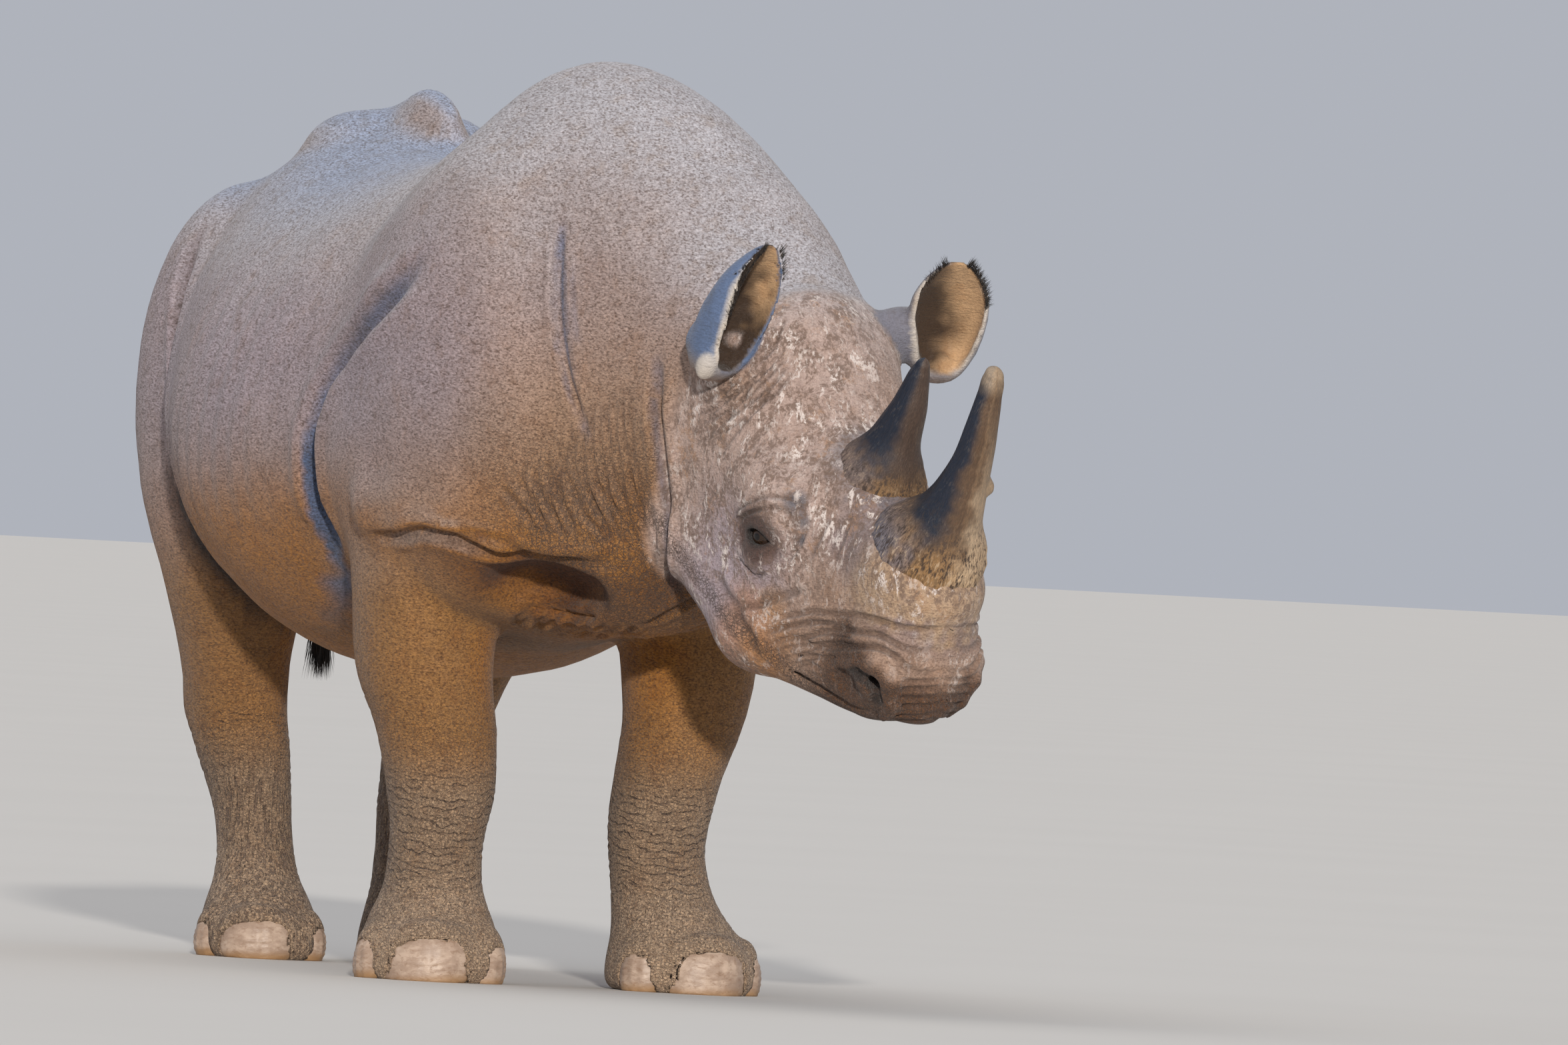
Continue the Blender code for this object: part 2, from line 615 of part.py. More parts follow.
def ahead_of(name, coll, point, normal, reach, ease):
    """Box beginning at a plane and running on along its normal; reach is (sideways, down, up) in it."""
    z = Vector(normal).normalized()
    x = Vector((0, 0, 1) if abs(z.z) < 0.9 else (0, 1, 0)).cross(z).normalized()
    axes = Matrix((x, z.cross(x), z)).transposed().to_4x4()
    wide, down, up = reach
    return box(name, coll, (-wide, -down, -ease), (wide, up, 2.0), Matrix.Translation(Vector(point)) @ axes)


def cut_plane(obj, point, normal, name, coll, cutters, reach=(2.0, 2.0, 2.0)):
    inner = ahead_of("plane_" + name, cutters, point, normal, reach, 0.0)
    outer = ahead_of("plane_wide_" + name, cutters, point, normal, reach, GAP)
    return split(obj, inner, outer, name, coll)


def finish(obj, mat):
    bm = bmesh.new()
    bm.from_mesh(obj.data)
    bmesh.ops.triangulate(bm, faces=[f for f in bm.faces if len(f.verts) > 4])
    bmesh.ops.recalc_face_normals(bm, faces=bm.faces)
    for face in bm.faces:
        face.smooth = True
        face.material_index = 0
    bm.to_mesh(obj.data)
    bm.free()
    obj.data.materials.clear()
    obj.data.materials.append(mat)


def main():
    clear_scene()
    coll, cutters = collection("black_rhinoceros"), collection("cutters")
    skin = material("skin", (.30, .235, .185), 0.75)
    dark_skin = material("foot_skin", (.24, .19, .145), 0.8)
    horn = material("horn", (.17, .145, .12), 0.55)
    nail = material("nail", (.42, .34, .26), 0.5)
    eye = material("eye", (.03, .018, .012), 0.08, coat=1.0)
    hair = material("hair", (.02, .017, .015), 0.7)

    trunk = make_flesh(coll)
    trunk.name = trunk.data.name = "trunk"
    pieces = {}

    # head, then neck
    forward, up = AXES[0], AXES[2]
    nape = from_head((0.005, 0, 0.0))
    pieces["head"] = cut_plane(trunk, nape, forward * 0.99 + up * 0.10, "head", coll, cutters,
                               (0.5, 0.42, 0.5))
    pieces["neck"] = cut_plane(trunk, (0, -0.40, 1.05), (0.10, -0.93, -0.30), "neck", coll, cutters,
                               (0.6, 0.48, 0.8))

    # legs, each parted at the knee or hock and above the foot
    tops = {"front": 0.80, "hind": 0.87}
    knees = {"front": 0.345, "hind": 0.385}
    for name in LEGS:
        end = name.split("_")[0]
        sleeve = leg_cutter(name, cutters, tops[end], 0.0)
        wide = leg_cutter(name, cutters, tops[end], GAP)
        leg = split(trunk, sleeve, wide, "leg_" + name, coll)
        x, y = at(LEG_TABLES[name], 0.15)[:2]
        lower = cut_plane(leg, (x, y, knees[end]), (0, 0, -1), "shin_" + name, coll, cutters)
        foot = cut_plane(lower, (x, y, 0.135), (0, 0, -1), "foot_" + name, coll, cutters)
        ground = box("ground_" + name, cutters, (-2, -2, -1), (2, 2, FLOOR))
        boolean(foot, ground, "DIFFERENCE")
        inward = 1 if name.endswith("right") else -1
        for which, bearing, half, height in NAILS:
            tag = f"nail_{name}_{which}"
            scale = 1.0 if end == "front" else 0.86
            piece = make_nail(tag, coll, name, bearing - TOES_OUT[name.split("_")[1]], half * scale,
                              height * scale, inward)
            boolean(piece, ground, "DIFFERENCE")
            boolean(foot, swollen(piece, "socket_" + tag, cutters, GAP), "DIFFERENCE")
            pieces[tag] = piece
        drop_crumbs(foot)
        pieces["leg_" + name], pieces["shin_" + name], pieces["foot_" + name] = leg, lower, foot

    # horns, eyes and ears set into the head
    pieces["horn_front"] = make_horn("horn_front", coll, FRONT_HORN)
    pieces["horn_rear"] = make_horn("horn_rear", coll, REAR_HORN)
    boolean(pieces["horn_rear"], swollen(pieces["horn_front"], "bay_horn_rear", cutters, GAP), "DIFFERENCE")
    turn = Matrix(AXES.T.tolist()).to_4x4()
    for side, s in (("left", 1), ("right", -1)):
        u, out, v = EYE_AT
        pieces["eye_" + side] = sphere("eye_" + side, coll, from_head((u, s * out, v)),
                                       (EYE_RADIUS,) * 3, turn, 10, 7)
        pieces["ear_" + side] = make_ear(side, coll)
    for name in ("horn_front", "horn_rear", "eye_left", "eye_right", "ear_left", "ear_right"):
        ease = GAP * (3 if "ear" in name else 1)
        boolean(pieces["head"], swollen(pieces[name], "socket_" + name, cutters, ease), "DIFFERENCE")

    # tail and its tuft
    tail = make_hanging("tail", coll, TAIL, np.linspace(TAIL[0][0], TAIL[-1][0], 9))
    tuft = make_hanging("tail_tuft", coll, TUFT, np.linspace(TUFT[0][0], TUFT[-1][0], 6))
    boolean(trunk, swollen(tail, "socket_tail", cutters, GAP), "DIFFERENCE")
    boolean(tuft, swollen(tail, "socket_tuft", cutters, GAP), "DIFFERENCE")
    pieces["tail"], pieces["tail_tuft"], pieces["trunk"] = tail, tuft, trunk

    for name, obj in pieces.items():
        kind = name.split("_")[0]
        finish(obj, {"horn": horn, "nail": nail, "eye": eye, "foot": dark_skin}.get(
            kind, hair if name == "tail_tuft" else skin))
        obj.data.transform(Matrix.Translation((0, -MIDDLE_Y, -FLOOR)))
    for obj in cutters.objects:
        obj.hide_render = True
        obj.display_type = "WIRE"
        obj.data.transform(Matrix.Translation((0, -MIDDLE_Y, -FLOOR)))


main()
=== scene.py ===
"""Black rhinoceros, life size: the looks of the still model, laid out as an add-on and run as a script.

Metres, +Z up, the animal faces -Y.  The hide is the level surface of one blended form, worked out on a
fine lattice, creased along its folds and thinned where it is smooth.  Horns, nails, eyes and hairs are
surfaces of two parameters.
"""

import bmesh
import bpy
import numpy as np
from mathutils import Matrix, Vector


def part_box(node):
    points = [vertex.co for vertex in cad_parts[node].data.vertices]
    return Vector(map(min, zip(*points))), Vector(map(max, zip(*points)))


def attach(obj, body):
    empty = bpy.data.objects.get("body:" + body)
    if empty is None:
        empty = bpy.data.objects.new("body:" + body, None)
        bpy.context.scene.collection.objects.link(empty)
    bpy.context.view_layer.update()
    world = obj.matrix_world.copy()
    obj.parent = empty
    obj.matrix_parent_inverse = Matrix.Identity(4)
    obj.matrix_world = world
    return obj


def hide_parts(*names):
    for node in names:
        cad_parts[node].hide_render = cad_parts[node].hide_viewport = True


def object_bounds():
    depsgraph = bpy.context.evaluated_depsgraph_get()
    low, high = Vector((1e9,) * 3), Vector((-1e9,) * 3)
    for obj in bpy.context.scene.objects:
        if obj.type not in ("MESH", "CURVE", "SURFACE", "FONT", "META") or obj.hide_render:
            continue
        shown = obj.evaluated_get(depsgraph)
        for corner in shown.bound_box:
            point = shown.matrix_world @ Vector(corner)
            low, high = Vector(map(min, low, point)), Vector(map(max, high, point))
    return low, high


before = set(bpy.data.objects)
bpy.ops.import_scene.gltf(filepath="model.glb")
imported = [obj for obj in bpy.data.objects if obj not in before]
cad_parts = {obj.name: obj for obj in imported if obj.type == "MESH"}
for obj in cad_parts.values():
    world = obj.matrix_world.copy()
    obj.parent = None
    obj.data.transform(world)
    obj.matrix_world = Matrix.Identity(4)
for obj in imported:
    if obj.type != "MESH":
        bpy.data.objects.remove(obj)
CAD_BOX = [list(corner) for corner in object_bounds()]

bl_info = {
    "name": "Black rhinoceros",
    "version": (1, 0, 0),
    "blender": (4, 5, 0),
    "location": "View3D > Sidebar > Rhinoceros",
    "description": "Builds the hide, horns, nails, eyes and hairs of a life-size black rhinoceros",
    "category": "Add Mesh",
}

# ---- the body's form (metres)
# Stations along the neck and trunk: y, centre x, top z, bottom z, widest z, half width, roundness
TRUNK = (
    (-.88, .225, 1.130, .800, .95, .130, 2.0), (-.74, .170, 1.215, .790, .98, .175, 2.2),
    (-.62, .130, 1.305, .765, 1.01, .212, 2.4), (-.50, .092, 1.405, .720, 1.02, .250, 2.45),
    (-.38, .055, 1.490, .670, 1.02, .282, 2.3), (-.22, .020, 1.573, .620, 1.00, .325, 2.05),
    (-.08, 0, 1.600, .600, .97, .350, 1.9), (.08, 0, 1.560, .585, .95, .375, 1.85),
    (.27, 0, 1.478, .565, .93, .415, 1.85), (.46, 0, 1.440, .535, .92, .455, 1.95),
    (.65, 0, 1.432, .515, .92, .475, 2.0), (.83, 0, 1.447, .525, .93, .476, 1.95),
    (1.00, 0, 1.480, .560, .96, .442, 1.9), (1.16, 0, 1.485, .650, 1.00, .392, 1.95),
    (1.30, 0, 1.445, .780, 1.03, .335, 2.05), (1.42, 0, 1.365, .900, 1.07, .258, 2.1),
    (1.50, 0, 1.270, .980, 1.08, .180, 2.0), (1.55, 0, 1.200, 1.020, 1.10, .110, 2.0),
)
# Stations up each leg: z, centre x, centre y, half width, reach behind, reach in front
FRONT_RIGHT = (
    (-.02, -.212, .020, .122, .128, .128), (.04, -.212, .020, .126, .133, .133),
    (.10, -.209, .028, .108, .112, .112), (.16, -.206, .038, .086, .088, .088),
    (.216, -.204, .042, .079, .082, .082), (.338, -.201, .040, .092, .100, .100),
    (.432, -.213, .043, .102, .118, .115), (.526, -.235, .052, .113, .145, .138),
    (.674, -.240, .065, .120, .175, .170), (.80, -.245, .065, .122, .185, .190),
    (.95, -.250, .075, .120, .220, .210),
)
FRONT_LEFT = (
    (-.02, .222, -.040, .122, .128, .128), (.04, .222, -.040, .126, .133, .133),
    (.10, .212, -.032, .108, .112, .112), (.16, .192, -.024, .088, .088, .088),
    (.238, .177, -.018, .081, .083, .083), (.306, .180, -.015, .085, .092, .092),
    (.374, .194, -.008, .090, .105, .104), (.456, .216, .004, .098, .120, .115),
    (.537, .228, .020, .109, .142, .135), (.674, .236, .050, .120, .172, .168),
    (.80, .246, .062, .122, .185, .190), (.95, .250, .075, .120, .220, .210),
)
HIND = (          # the left one; the right one is its mirror image with its foot a little less far back
    (-.02, .154, 1.280, .104, .110, .120), (.04, .154, 1.280, .108, .110, .128),
    (.09, .152, 1.294, .095, .100, .110), (.15, .151, 1.318, .075, .080, .085),
    (.234, .152, 1.341, .066, .078, .078), (.31, .163, 1.348, .072, .086, .088),
    (.373, .177, 1.350, .081, .101, .098), (.43, .191, 1.350, .086, .114, .104),
    (.50, .205, 1.322, .090, .112, .114), (.581, .219, 1.286, .105, .125, .135),
    (.68, .238, 1.244, .122, .155, .175), (.80, .252, 1.210, .133, .195, .225),
    (.95, .250, 1.190, .135, .210, .250), (1.10, .235, 1.190, .135, .210, .230),
)
HIND_RIGHT_FORWARD = 0.03
# Stations down the tail: z, centre x, centre y, half thickness
TAIL = (
    (.62, .024, 1.552, .0130), (.68, .023, 1.556, .0175), (.80, .020, 1.562, .0230),
    (.92, .015, 1.566, .0270), (1.05, .008, 1.562, .0320), (1.16, .003, 1.536, .0390),
    (1.25, 0, 1.493, .0450), (1.33, 0, 1.430, .0480),
)
# Stations along the head, from the nape forward: u, top, bottom, widest v, half width, roundness
HEAD = (
    (-.10, .100, -.100, 0, .120, 2.0), (-.04, .170, -.140, 0, .145, 2.0),
    (.02, .235, -.190, 0, .160, 2.0), (.07, .240, -.220, -.010, .166, 2.05),
    (.12, .220, -.240, -.030, .168, 2.1), (.20, .175, -.250, -.050, .169, 2.2),
    (.28, .142, -.240, -.060, .163, 2.2), (.36, .126, -.222, -.060, .148, 2.2),
    (.44, .118, -.205, -.050, .124, 2.2), (.52, .116, -.195, -.045, .112, 2.3),
    (.60, .102, -.175, -.045, .106, 2.3), (.65, .072, -.160, -.045, .098, 2.2),
    (.69, .030, -.140, -.050, .082, 2.1), (.726, -.018, -.115, -.060, .048, 2.0),
)
# Stations up each horn: v, centre u, half length, half width
FRONT_HORN = (
    (.075, .550, .106, .094), (.12, .552, .104, .093), (.16, .556, .088, .082),
    (.20, .560, .066, .062), (.26, .560, .049, .046), (.32, .553, .038, .037),
    (.38, .542, .030, .030), (.43, .530, .024, .024), (.465, .521, .018, .018),
    (.480, .517, .010, .010), (.485, .516, .001, .001),
)
REAR_HORN = (
    (.090, .372, .082, .072), (.135, .372, .081, .075), (.165, .370, .066, .060),
    (.20, .368, .048, .044), (.25, .364, .035, .033), (.30, .358, .025, .024),
    (.345, .351, .014, .014), (.360, .349, .008, .008), (.366, .348, .001, .001),
)
# Stations up each ear: share of its length, half width, half depth, half angle of its slit in degrees
EAR = (
    (-.02, .022, .020, 30.0), (.06, .040, .036, 32.0), (.18, .055, .048, 40.0), (.36, .066, .054, 48.0),
    (.56, .070, .052, 54.0), (.74, .064, .044, 60.0), (.88, .047, .032, 64.0), (.97, .028, .020, 66.0),
    (1.02, .013, .011, 68.0),
)
EAR_ENDS = {"right": ((.088, -.205, .122), (.052, -.152, .368)),      # foot and tip of the cup
            "left": ((.112, .260, .118), (.085, .224, .350))}
EAR_STALK = {"right": ((.046, -.162, .165), (.040, .070, .052)),      # middle and radii of its root
             "left": ((.060, .190, .175), (.040, .085, .052))}
EAR_WALL = 0.010
EAR_LOBE = {"right": (.112, -.231, .162), "left": (.112, .262, .150)}  # rounded end of the rim
EAR_LOBE_SIZE = {"right": (.013, .016, .028), "left": (.013, .014, .018)}
EAR_DEPTH = {"right": 1.0, "left": .70}                               # the left cup is held flatter
EAR_TURN = {"right": 12.0, "left": -22.0}                             # degrees its opening turns to the left
# Nails of one foot: bearing from its middle toe, half width, half height; how far the toes turn out
NAILS = (("outer", -62.0, .043, .046), ("middle", 0.0, .079, .054), ("inner", 62.0, .043, .046))
TOES_OUT = {"right": 17.0, "left": 9.0}
NAIL_BEND = 0.125
HIND_NAIL = 0.86
LEAN = {"front_right": 1.0, "front_left": 0.3, "hind_right": 0.2, "hind_left": -0.2}   # slant of its nails

# Muscles and bones over the long masses, as (centre, radii, blend); paired ones stand on both sides
PAIRED_TRUNK = (((.215, -.08, 1.03), (.165, .33, .38), .12),     # shoulder blade
                ((.270, .085, .90), (.125, .19, .185), .06),       # triceps
                ((.225, 1.27, 1.00), (.190, .235, .375), .035))  # haunch
SINGLE_TRUNK = (((0, .985, 1.458), (.046, .17, .092), .055),     # crest of the hips
                ((-.095, 1.13, 1.438), (.065, .10, .062), .05),  # right hip bone
                ((.095, 1.13, 1.438), (.065, .10, .062), .05),   # left hip bone
                ((0, 1.20, 1.42), (.12, .13, .075), .08),        # croup
                ((.02, -.38, .80), (.19, .18, .16), .12))        # brisket
PAIRED_HEAD = (((.285, .125, .020), (.080, .042, .045), .05),    # brow
               ((.640, .066, -.060), (.060, .045, .055), .04),   # side of the nostril
               ((.050, .135, .130), (.055, .048, .062), .05))    # root of the ear
SINGLE_HEAD = (((.555, 0, .075), (.130, .105, .070), .05),       # nasal boss under the front horn
               ((.375, 0, .100), (.090, .085, .050), .05),       # seat of the rear horn
               ((.685, 0, -.092), (.050, .058, .045), .04))      # pointed upper lip
# Jaw, one side of two: rods between two points, with their two radii
JAW = (((.14, .085, -.195), (.34, .078, -.215), .085, .082),
       ((.34, .078, -.215), (.60, .032, -.136), .082, .056))

# The head's frame, hung between the two eyes of the CAD model
HEAD_YAW, HEAD_PITCH, HEAD_ROLL = 20.4, 38.0, 5.0
HEAD_AT = np.array((0.119, -0.62, 1.037))
EYE_U, EYE_V = 0.323, -0.040


def middle(node):
    low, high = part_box(node)
    return (np.array(low) + np.array(high)) / 2


def head_axes():
    """Unit vectors of the head: forward (u), to its left (s) and up off its brow (v)."""
    yaw, pitch, roll = (np.radians(a) for a in (HEAD_YAW, HEAD_PITCH, HEAD_ROLL))
    forward = np.array([np.cos(pitch) * np.sin(yaw), -np.cos(pitch) * np.cos(yaw), -np.sin(pitch)])
    up = np.array([np.sin(pitch) * np.sin(yaw), -np.sin(pitch) * np.cos(yaw), np.cos(pitch)])
    left = np.array([np.cos(yaw), np.sin(yaw), 0.0])
    return np.array([forward, left * np.cos(roll) + up * np.sin(roll),
                     up * np.cos(roll) - left * np.sin(roll)])


AXES = head_axes()
HEAD_ORIGIN = (middle("eye_left") + middle("eye_right")) / 2 - EYE_U * AXES[0] - EYE_V * AXES[2]
SHIFT = HEAD_AT - HEAD_ORIGIN         # from the model's frame to the one of the tables above


def to_head(p):
    """Points of the tables' frame in the head's own frame."""
    return (p - HEAD_AT) @ AXES.T


def from_head(h):
    """The other way round."""
    return np.asarray(h, float) @ AXES + HEAD_AT


def at(table, t):
    """Values of every column of a smooth table at t."""
    return [np.interp(t, table[0], column) for column in table[1].T]


def spline(rows):
    """Smooth curve through a table's rows: cubic pieces whose slopes are averages of their neighbours'."""
    rows = np.array(rows, float)
    t, v = rows[:, 0], rows[:, 1:]
    step = np.diff(t)[:, None]
    slope = np.diff(v, axis=0) / step
    tangent = np.vstack([slope[:1], (slope[:-1] * step[1:] + slope[1:] * step[:-1])
                         / (step[1:] + step[:-1]), slope[-1:]])
    q = np.linspace(t[0], t[-1], 241)
    i = np.clip(np.searchsorted(t, q) - 1, 0, len(t) - 2)
    h = (t[i + 1] - t[i])[:, None]
    w = (q[:, None] - t[i][:, None]) / h
    curve = ((2 * w**3 - 3 * w**2 + 1) * v[i] + (w**3 - 2 * w**2 + w) * h * tangent[i]
             + (3 * w**2 - 2 * w**3) * v[i + 1] + (w**3 - w**2) * h * tangent[i + 1])
    return q, curve


def level_table(rows):
    """Rows of (t, x, top, bottom, widest, half width, n) as (x, widest, half width, up, down, n)."""
    return spline([(t, x, m, w, top - m, m - low, n) for t, x, top, low, m, w, n in rows])


def mirrored_hind(rows):
    """The right hind leg: the left one mirrored, its lower part set a little further forward."""
    out = []
    for z, x, y, half, back, front in rows:
        share = max(0.0, 1 - max(z, 0) / 0.8)
        out.append((z, -x, y - HIND_RIGHT_FORWARD * share * share * (3 - 2 * share), half, back, front))
    return tuple(out)


LEG_TABLES = {name: spline(rows) for name, rows in
              (("front_left", FRONT_LEFT), ("front_right", FRONT_RIGHT),
               ("hind_left", HIND), ("hind_right", mirrored_hind(HIND)))}
TRUNK_TABLE = level_table(TRUNK)
HEAD_TABLE = level_table([(u, 0, top, low, m, w, n) for u, top, low, m, w, n in HEAD])
EAR_TABLE, TAIL_TABLE = spline(EAR), spline(TAIL)
HORN_TABLES = {"front": spline(FRONT_HORN), "rear": spline(REAR_HORN)}


# ---- blending of forms
def join(a, b, k):
    """Union of two forms, rounded over a width k."""
    h = np.maximum(k - np.abs(a - b), 0) / k
    return np.minimum(a, b) - h * h * k / 4


def keep(a, b, k):
    """What two forms share, rounded over a width k."""
    return -join(-a, -b, k)


def oval(p, centre, radii):
    """Roughly the distance outside an ellipsoid: q (q - 1) / slope of q, q being its share of the radii."""
    d, r = p - np.array(centre), np.array(radii)
    near = np.sqrt(((d / r) ** 2).sum(-1)) + 1e-9
    slope = np.sqrt(((d / r**2) ** 2).sum(-1)) + 1e-9
    return near * (near - 1) / slope


def rod(p, a, b, ra, rb):
    """Tapered rod with round ends."""
    a, b = np.array(a, float), np.array(b, float)
    t = np.clip((p - a) @ (b - a) / ((b - a) @ (b - a)), 0, 1)
    return np.linalg.norm(p - a - t[..., None] * (b - a), axis=-1) - (ra + (rb - ra) * t)


def rods(p, stations, k):
    """Chain of tapered rods through (point, radius) stations, blended over k."""
    d = None
    for (a, ra), (b, rb) in zip(stations[:-1], stations[1:]):
        r = rod(p, a, b, ra, rb)
        d = r if d is None else join(d, r, k)
    return d


def section(dx, dz, half, up, down, n):
    """Distance outside an oval section with its own reach upward and downward."""
    h = np.where(dz > 0, up, down)
    q = (np.abs(dx / half) ** n + np.abs(dz / h) ** n) ** (1 / n) + 1e-9
    r = np.hypot(dx, dz) + 1e-9
    return r - r / q


def between(t, table, d, k):
    """Closes the ends of a form made along t, rounding them over k."""
    return keep(d, np.maximum(table[0][0] - t, t - table[0][-1]), k)


def both_sides(masses):
    """Paired masses on both sides; axis 0 mirrors x, axis 1 mirrors the head's s."""
    return [((x, s * y, z) if axis else (s * x, y, z), radii, k)
            for axis, rows in masses for (x, y, z), radii, k in rows for s in (-1, 1)]


HAUNCHES = both_sides([(0, PAIRED_TRUNK[2:])])
BARREL_MASSES = both_sides([(0, PAIRED_TRUNK[:2])]) + list(SINGLE_TRUNK)
TRUNK_MASSES = BARREL_MASSES + HAUNCHES
HEAD_MASSES = both_sides([(1, PAIRED_HEAD)]) + list(SINGLE_HEAD)
JAW_RODS = [((a[0], s * a[1], a[2]), (b[0], s * b[1], b[2]), ra, rb) for s in (-1, 1)
            for a, b, ra, rb in JAW]


def trunk_form(p, masses=TRUNK_MASSES):
    x, widest, half, up, down, n = at(TRUNK_TABLE, p[..., 1])
    d = between(p[..., 1], TRUNK_TABLE, section(p[..., 0] - x, p[..., 2] - widest, half, up, down, n), .16)
    for centre, radii, k in masses:
        d = join(d, oval(p, centre, radii), k)
    return d


def flank_crease(p):
    """Shade in the crease between barrel and thigh: 1 in it, fading away over the thigh, wider lower down."""
    shade = np.zeros(len(p))
    near = np.flatnonzero(in_box(p, (-.50, .80, .54), (.50, 1.32, 1.30)) & (np.abs(p[:, 0]) > .12))
    q = p[near]
    thigh = np.minimum.reduce([oval(q, centre, radii) for centre, radii, _ in HAUNCHES]
                              + [leg_form(q, LEG_TABLES[name]) for name in ("hind_right", "hind_left")])
    apart = np.maximum(trunk_form(q, BARREL_MASSES), 5 * thigh)
    wide = .012 + .070 * ramp(q[:, 2], 1.00, .70)
    shade[near] = ramp(apart, wide, .35 * wide) * ramp(q[:, 1], 1.30, 1.22)
    return shade


def armpits(p, d):
    """Rolls of hide over the armpits, and the hollows under them, on both sides of the bent chest."""
    near = in_box(p, (-.50, -.62, .55), (.56, .20, .95))
    if near.any():
        q, part = p[near], d[near]
        bend = at(TRUNK_TABLE, q[:, 1])[0]
        for side in (-1, 1):
            m = q.copy()
            if side > 0:
                m[:, 0] = 2 * bend - q[:, 0]
            for stations, k in ROLLS:
                part = join(part, rods(m, stations, .02), k)
            part = keep(part, -oval(m, *ARMPIT[:2]), ARMPIT[2])
        d[near] = part
    return d


def leg_form(p, table):
    """One leg: oval sections stacked up its stations, closed at the floor and inside the trunk."""
    x, y, half, back, front = at(table, p[..., 2])
    d = section(p[..., 0] - x, p[..., 1] - y, half, back, front, 2.2)
    return keep(keep(d, -p[..., 2], .03), p[..., 2] - table[0][-1], .15)


def skull_form(h):
    """The head without its openings."""
    x, widest, half, up, down, n = at(HEAD_TABLE, h[..., 0])
    d = between(h[..., 0], HEAD_TABLE, section(h[..., 1] - x, h[..., 2] - widest, half, up, down, n), .05)
    jaw = None
    for a, b, ra, rb in JAW_RODS:
        r = rod(h, a, b, ra, rb)
        jaw = r if jaw is None else join(jaw, r, .03)
    d = join(d, jaw, .06)
    for centre, radii, k in HEAD_MASSES:
        d = join(d, oval(h, centre, radii), k)
    return d


# ---- ears, tail, eyes, nostrils
def ear_frame(side):
    """Foot, length and axes (along, across, out of the cup) of an ear, in the head's frame."""
    foot, tip = (np.array(q, float) for q in EAR_ENDS[side])
    along = tip - foot
    length = np.linalg.norm(along)
    along = along / length
    out = np.array([np.cos(np.radians(EAR_TURN[side])), np.sin(np.radians(EAR_TURN[side])), 0])
    out = out - out @ along * along
    out /= np.linalg.norm(out)
    return foot, length, along, np.cross(out, along), out


def ear_place(h, side):
    """Share of the ear's length, sideways and outward offsets of points."""
    foot, length, along, across, out = ear_frame(side)
    q = h - foot
    return q @ along / length, q @ across, q @ out, length


def ear_form(h, side):
    """Upright cup with an even wall and a rolled rim, slit open in front, on a stalk."""
    t, x, y, length = ear_place(h, side)
    wide, deep, slit = at(EAR_TABLE, t)
    deep = deep * EAR_DEPTH[side]
    outer = keep(section(x, y, wide, deep, deep, 2.0), np.maximum(-.03 - t, t - 1.03) * length, .02)
    wall = EAR_WALL
    inner = section(x, y, np.maximum(wide - wall, .003), *(np.maximum(deep - wall, .003),) * 2, 2.0)
    inner = keep(inner, (.16 - t) * length, .03)
    gap = np.maximum(np.abs(x) - np.sin(np.radians(slit)) * wide, np.maximum(-y, (.12 - t) * length))
    cup = keep(keep(outer, -inner, .003), -gap, .006)
    stalk = keep(oval(h, *EAR_STALK[side]), -inner, .004)
    lobe = oval(h, EAR_LOBE[side], EAR_LOBE_SIZE[side])
    return join(join(cup, stalk, .02), lobe, .016)


def tail_form(p):
    """Round tail, with a slight knot at every joint of its bones."""
    x, y, r = at(TAIL_TABLE, p[..., 2])
    d = np.hypot(p[..., 0] - x, p[..., 1] - y) - r * (.93 + .035 * np.sin(p[..., 2] * 150))
    return keep(d, np.maximum(TAIL[0][0] + .012 - p[..., 2], p[..., 2] - TAIL[-1][0]), .015)


EYE_SINK, EYE_BALL = 0.1372, 0.0250        # how far out the eyeball's centre stands, and its radius
LID = 0.0055                               # thickness of the lids over it
SLIT_ABOVE, SLIT_BELOW, SLIT_HALF = .0155, .0140, .0285    # reach of the slit between the lids
SLIT_SLANT = 0.12


def eye_frame(s):
    """Centre of the eyeball, and its axes: along the slit, up, and the gaze."""
    gaze = np.array([.20, s * .97, .10])
    gaze /= np.linalg.norm(gaze)
    along = np.array([.885, 0, .464])
    along -= along @ gaze * gaze
    along /= np.linalg.norm(along)
    up = np.cross(gaze, along)
    up *= np.sign(up[2])
    return np.array([EYE_U, s * EYE_SINK, EYE_V]), along, up, gaze


def slit_gap(along, up):
    """How far a point stands outside the slit between the lids."""
    high = np.where(up > 0, SLIT_ABOVE, SLIT_BELOW)
    return np.abs(up + SLIT_SLANT * along) - high * (1 - (along / SLIT_HALF) ** 2)


def lidded(h, d):
    """Adds the lids' bulge and pouch round each eye, and opens the slit down to the eyeball."""
    for s in (-1, 1):
        centre, along, up, gaze = eye_frame(s)
        q = h - centre
        a, b, g = q @ along, q @ up, q @ gaze
        far = np.sqrt((q**2).sum(-1))
        lids = far - (EYE_BALL + LID)
        pouch = oval(np.stack([a + .002, b + .030, g - .013], -1), (0, 0, 0), (.030, .026, .014))
        brow = oval(np.stack([a - .006, b - .034, g - .010], -1), (0, 0, 0), (.052, .016, .014))
        d = join(join(join(d, lids, .014), pouch, .016), brow, .018)
        d = keep(d, -np.maximum(slit_gap(a, b) * .8, .006 - g), .0022)
    return d


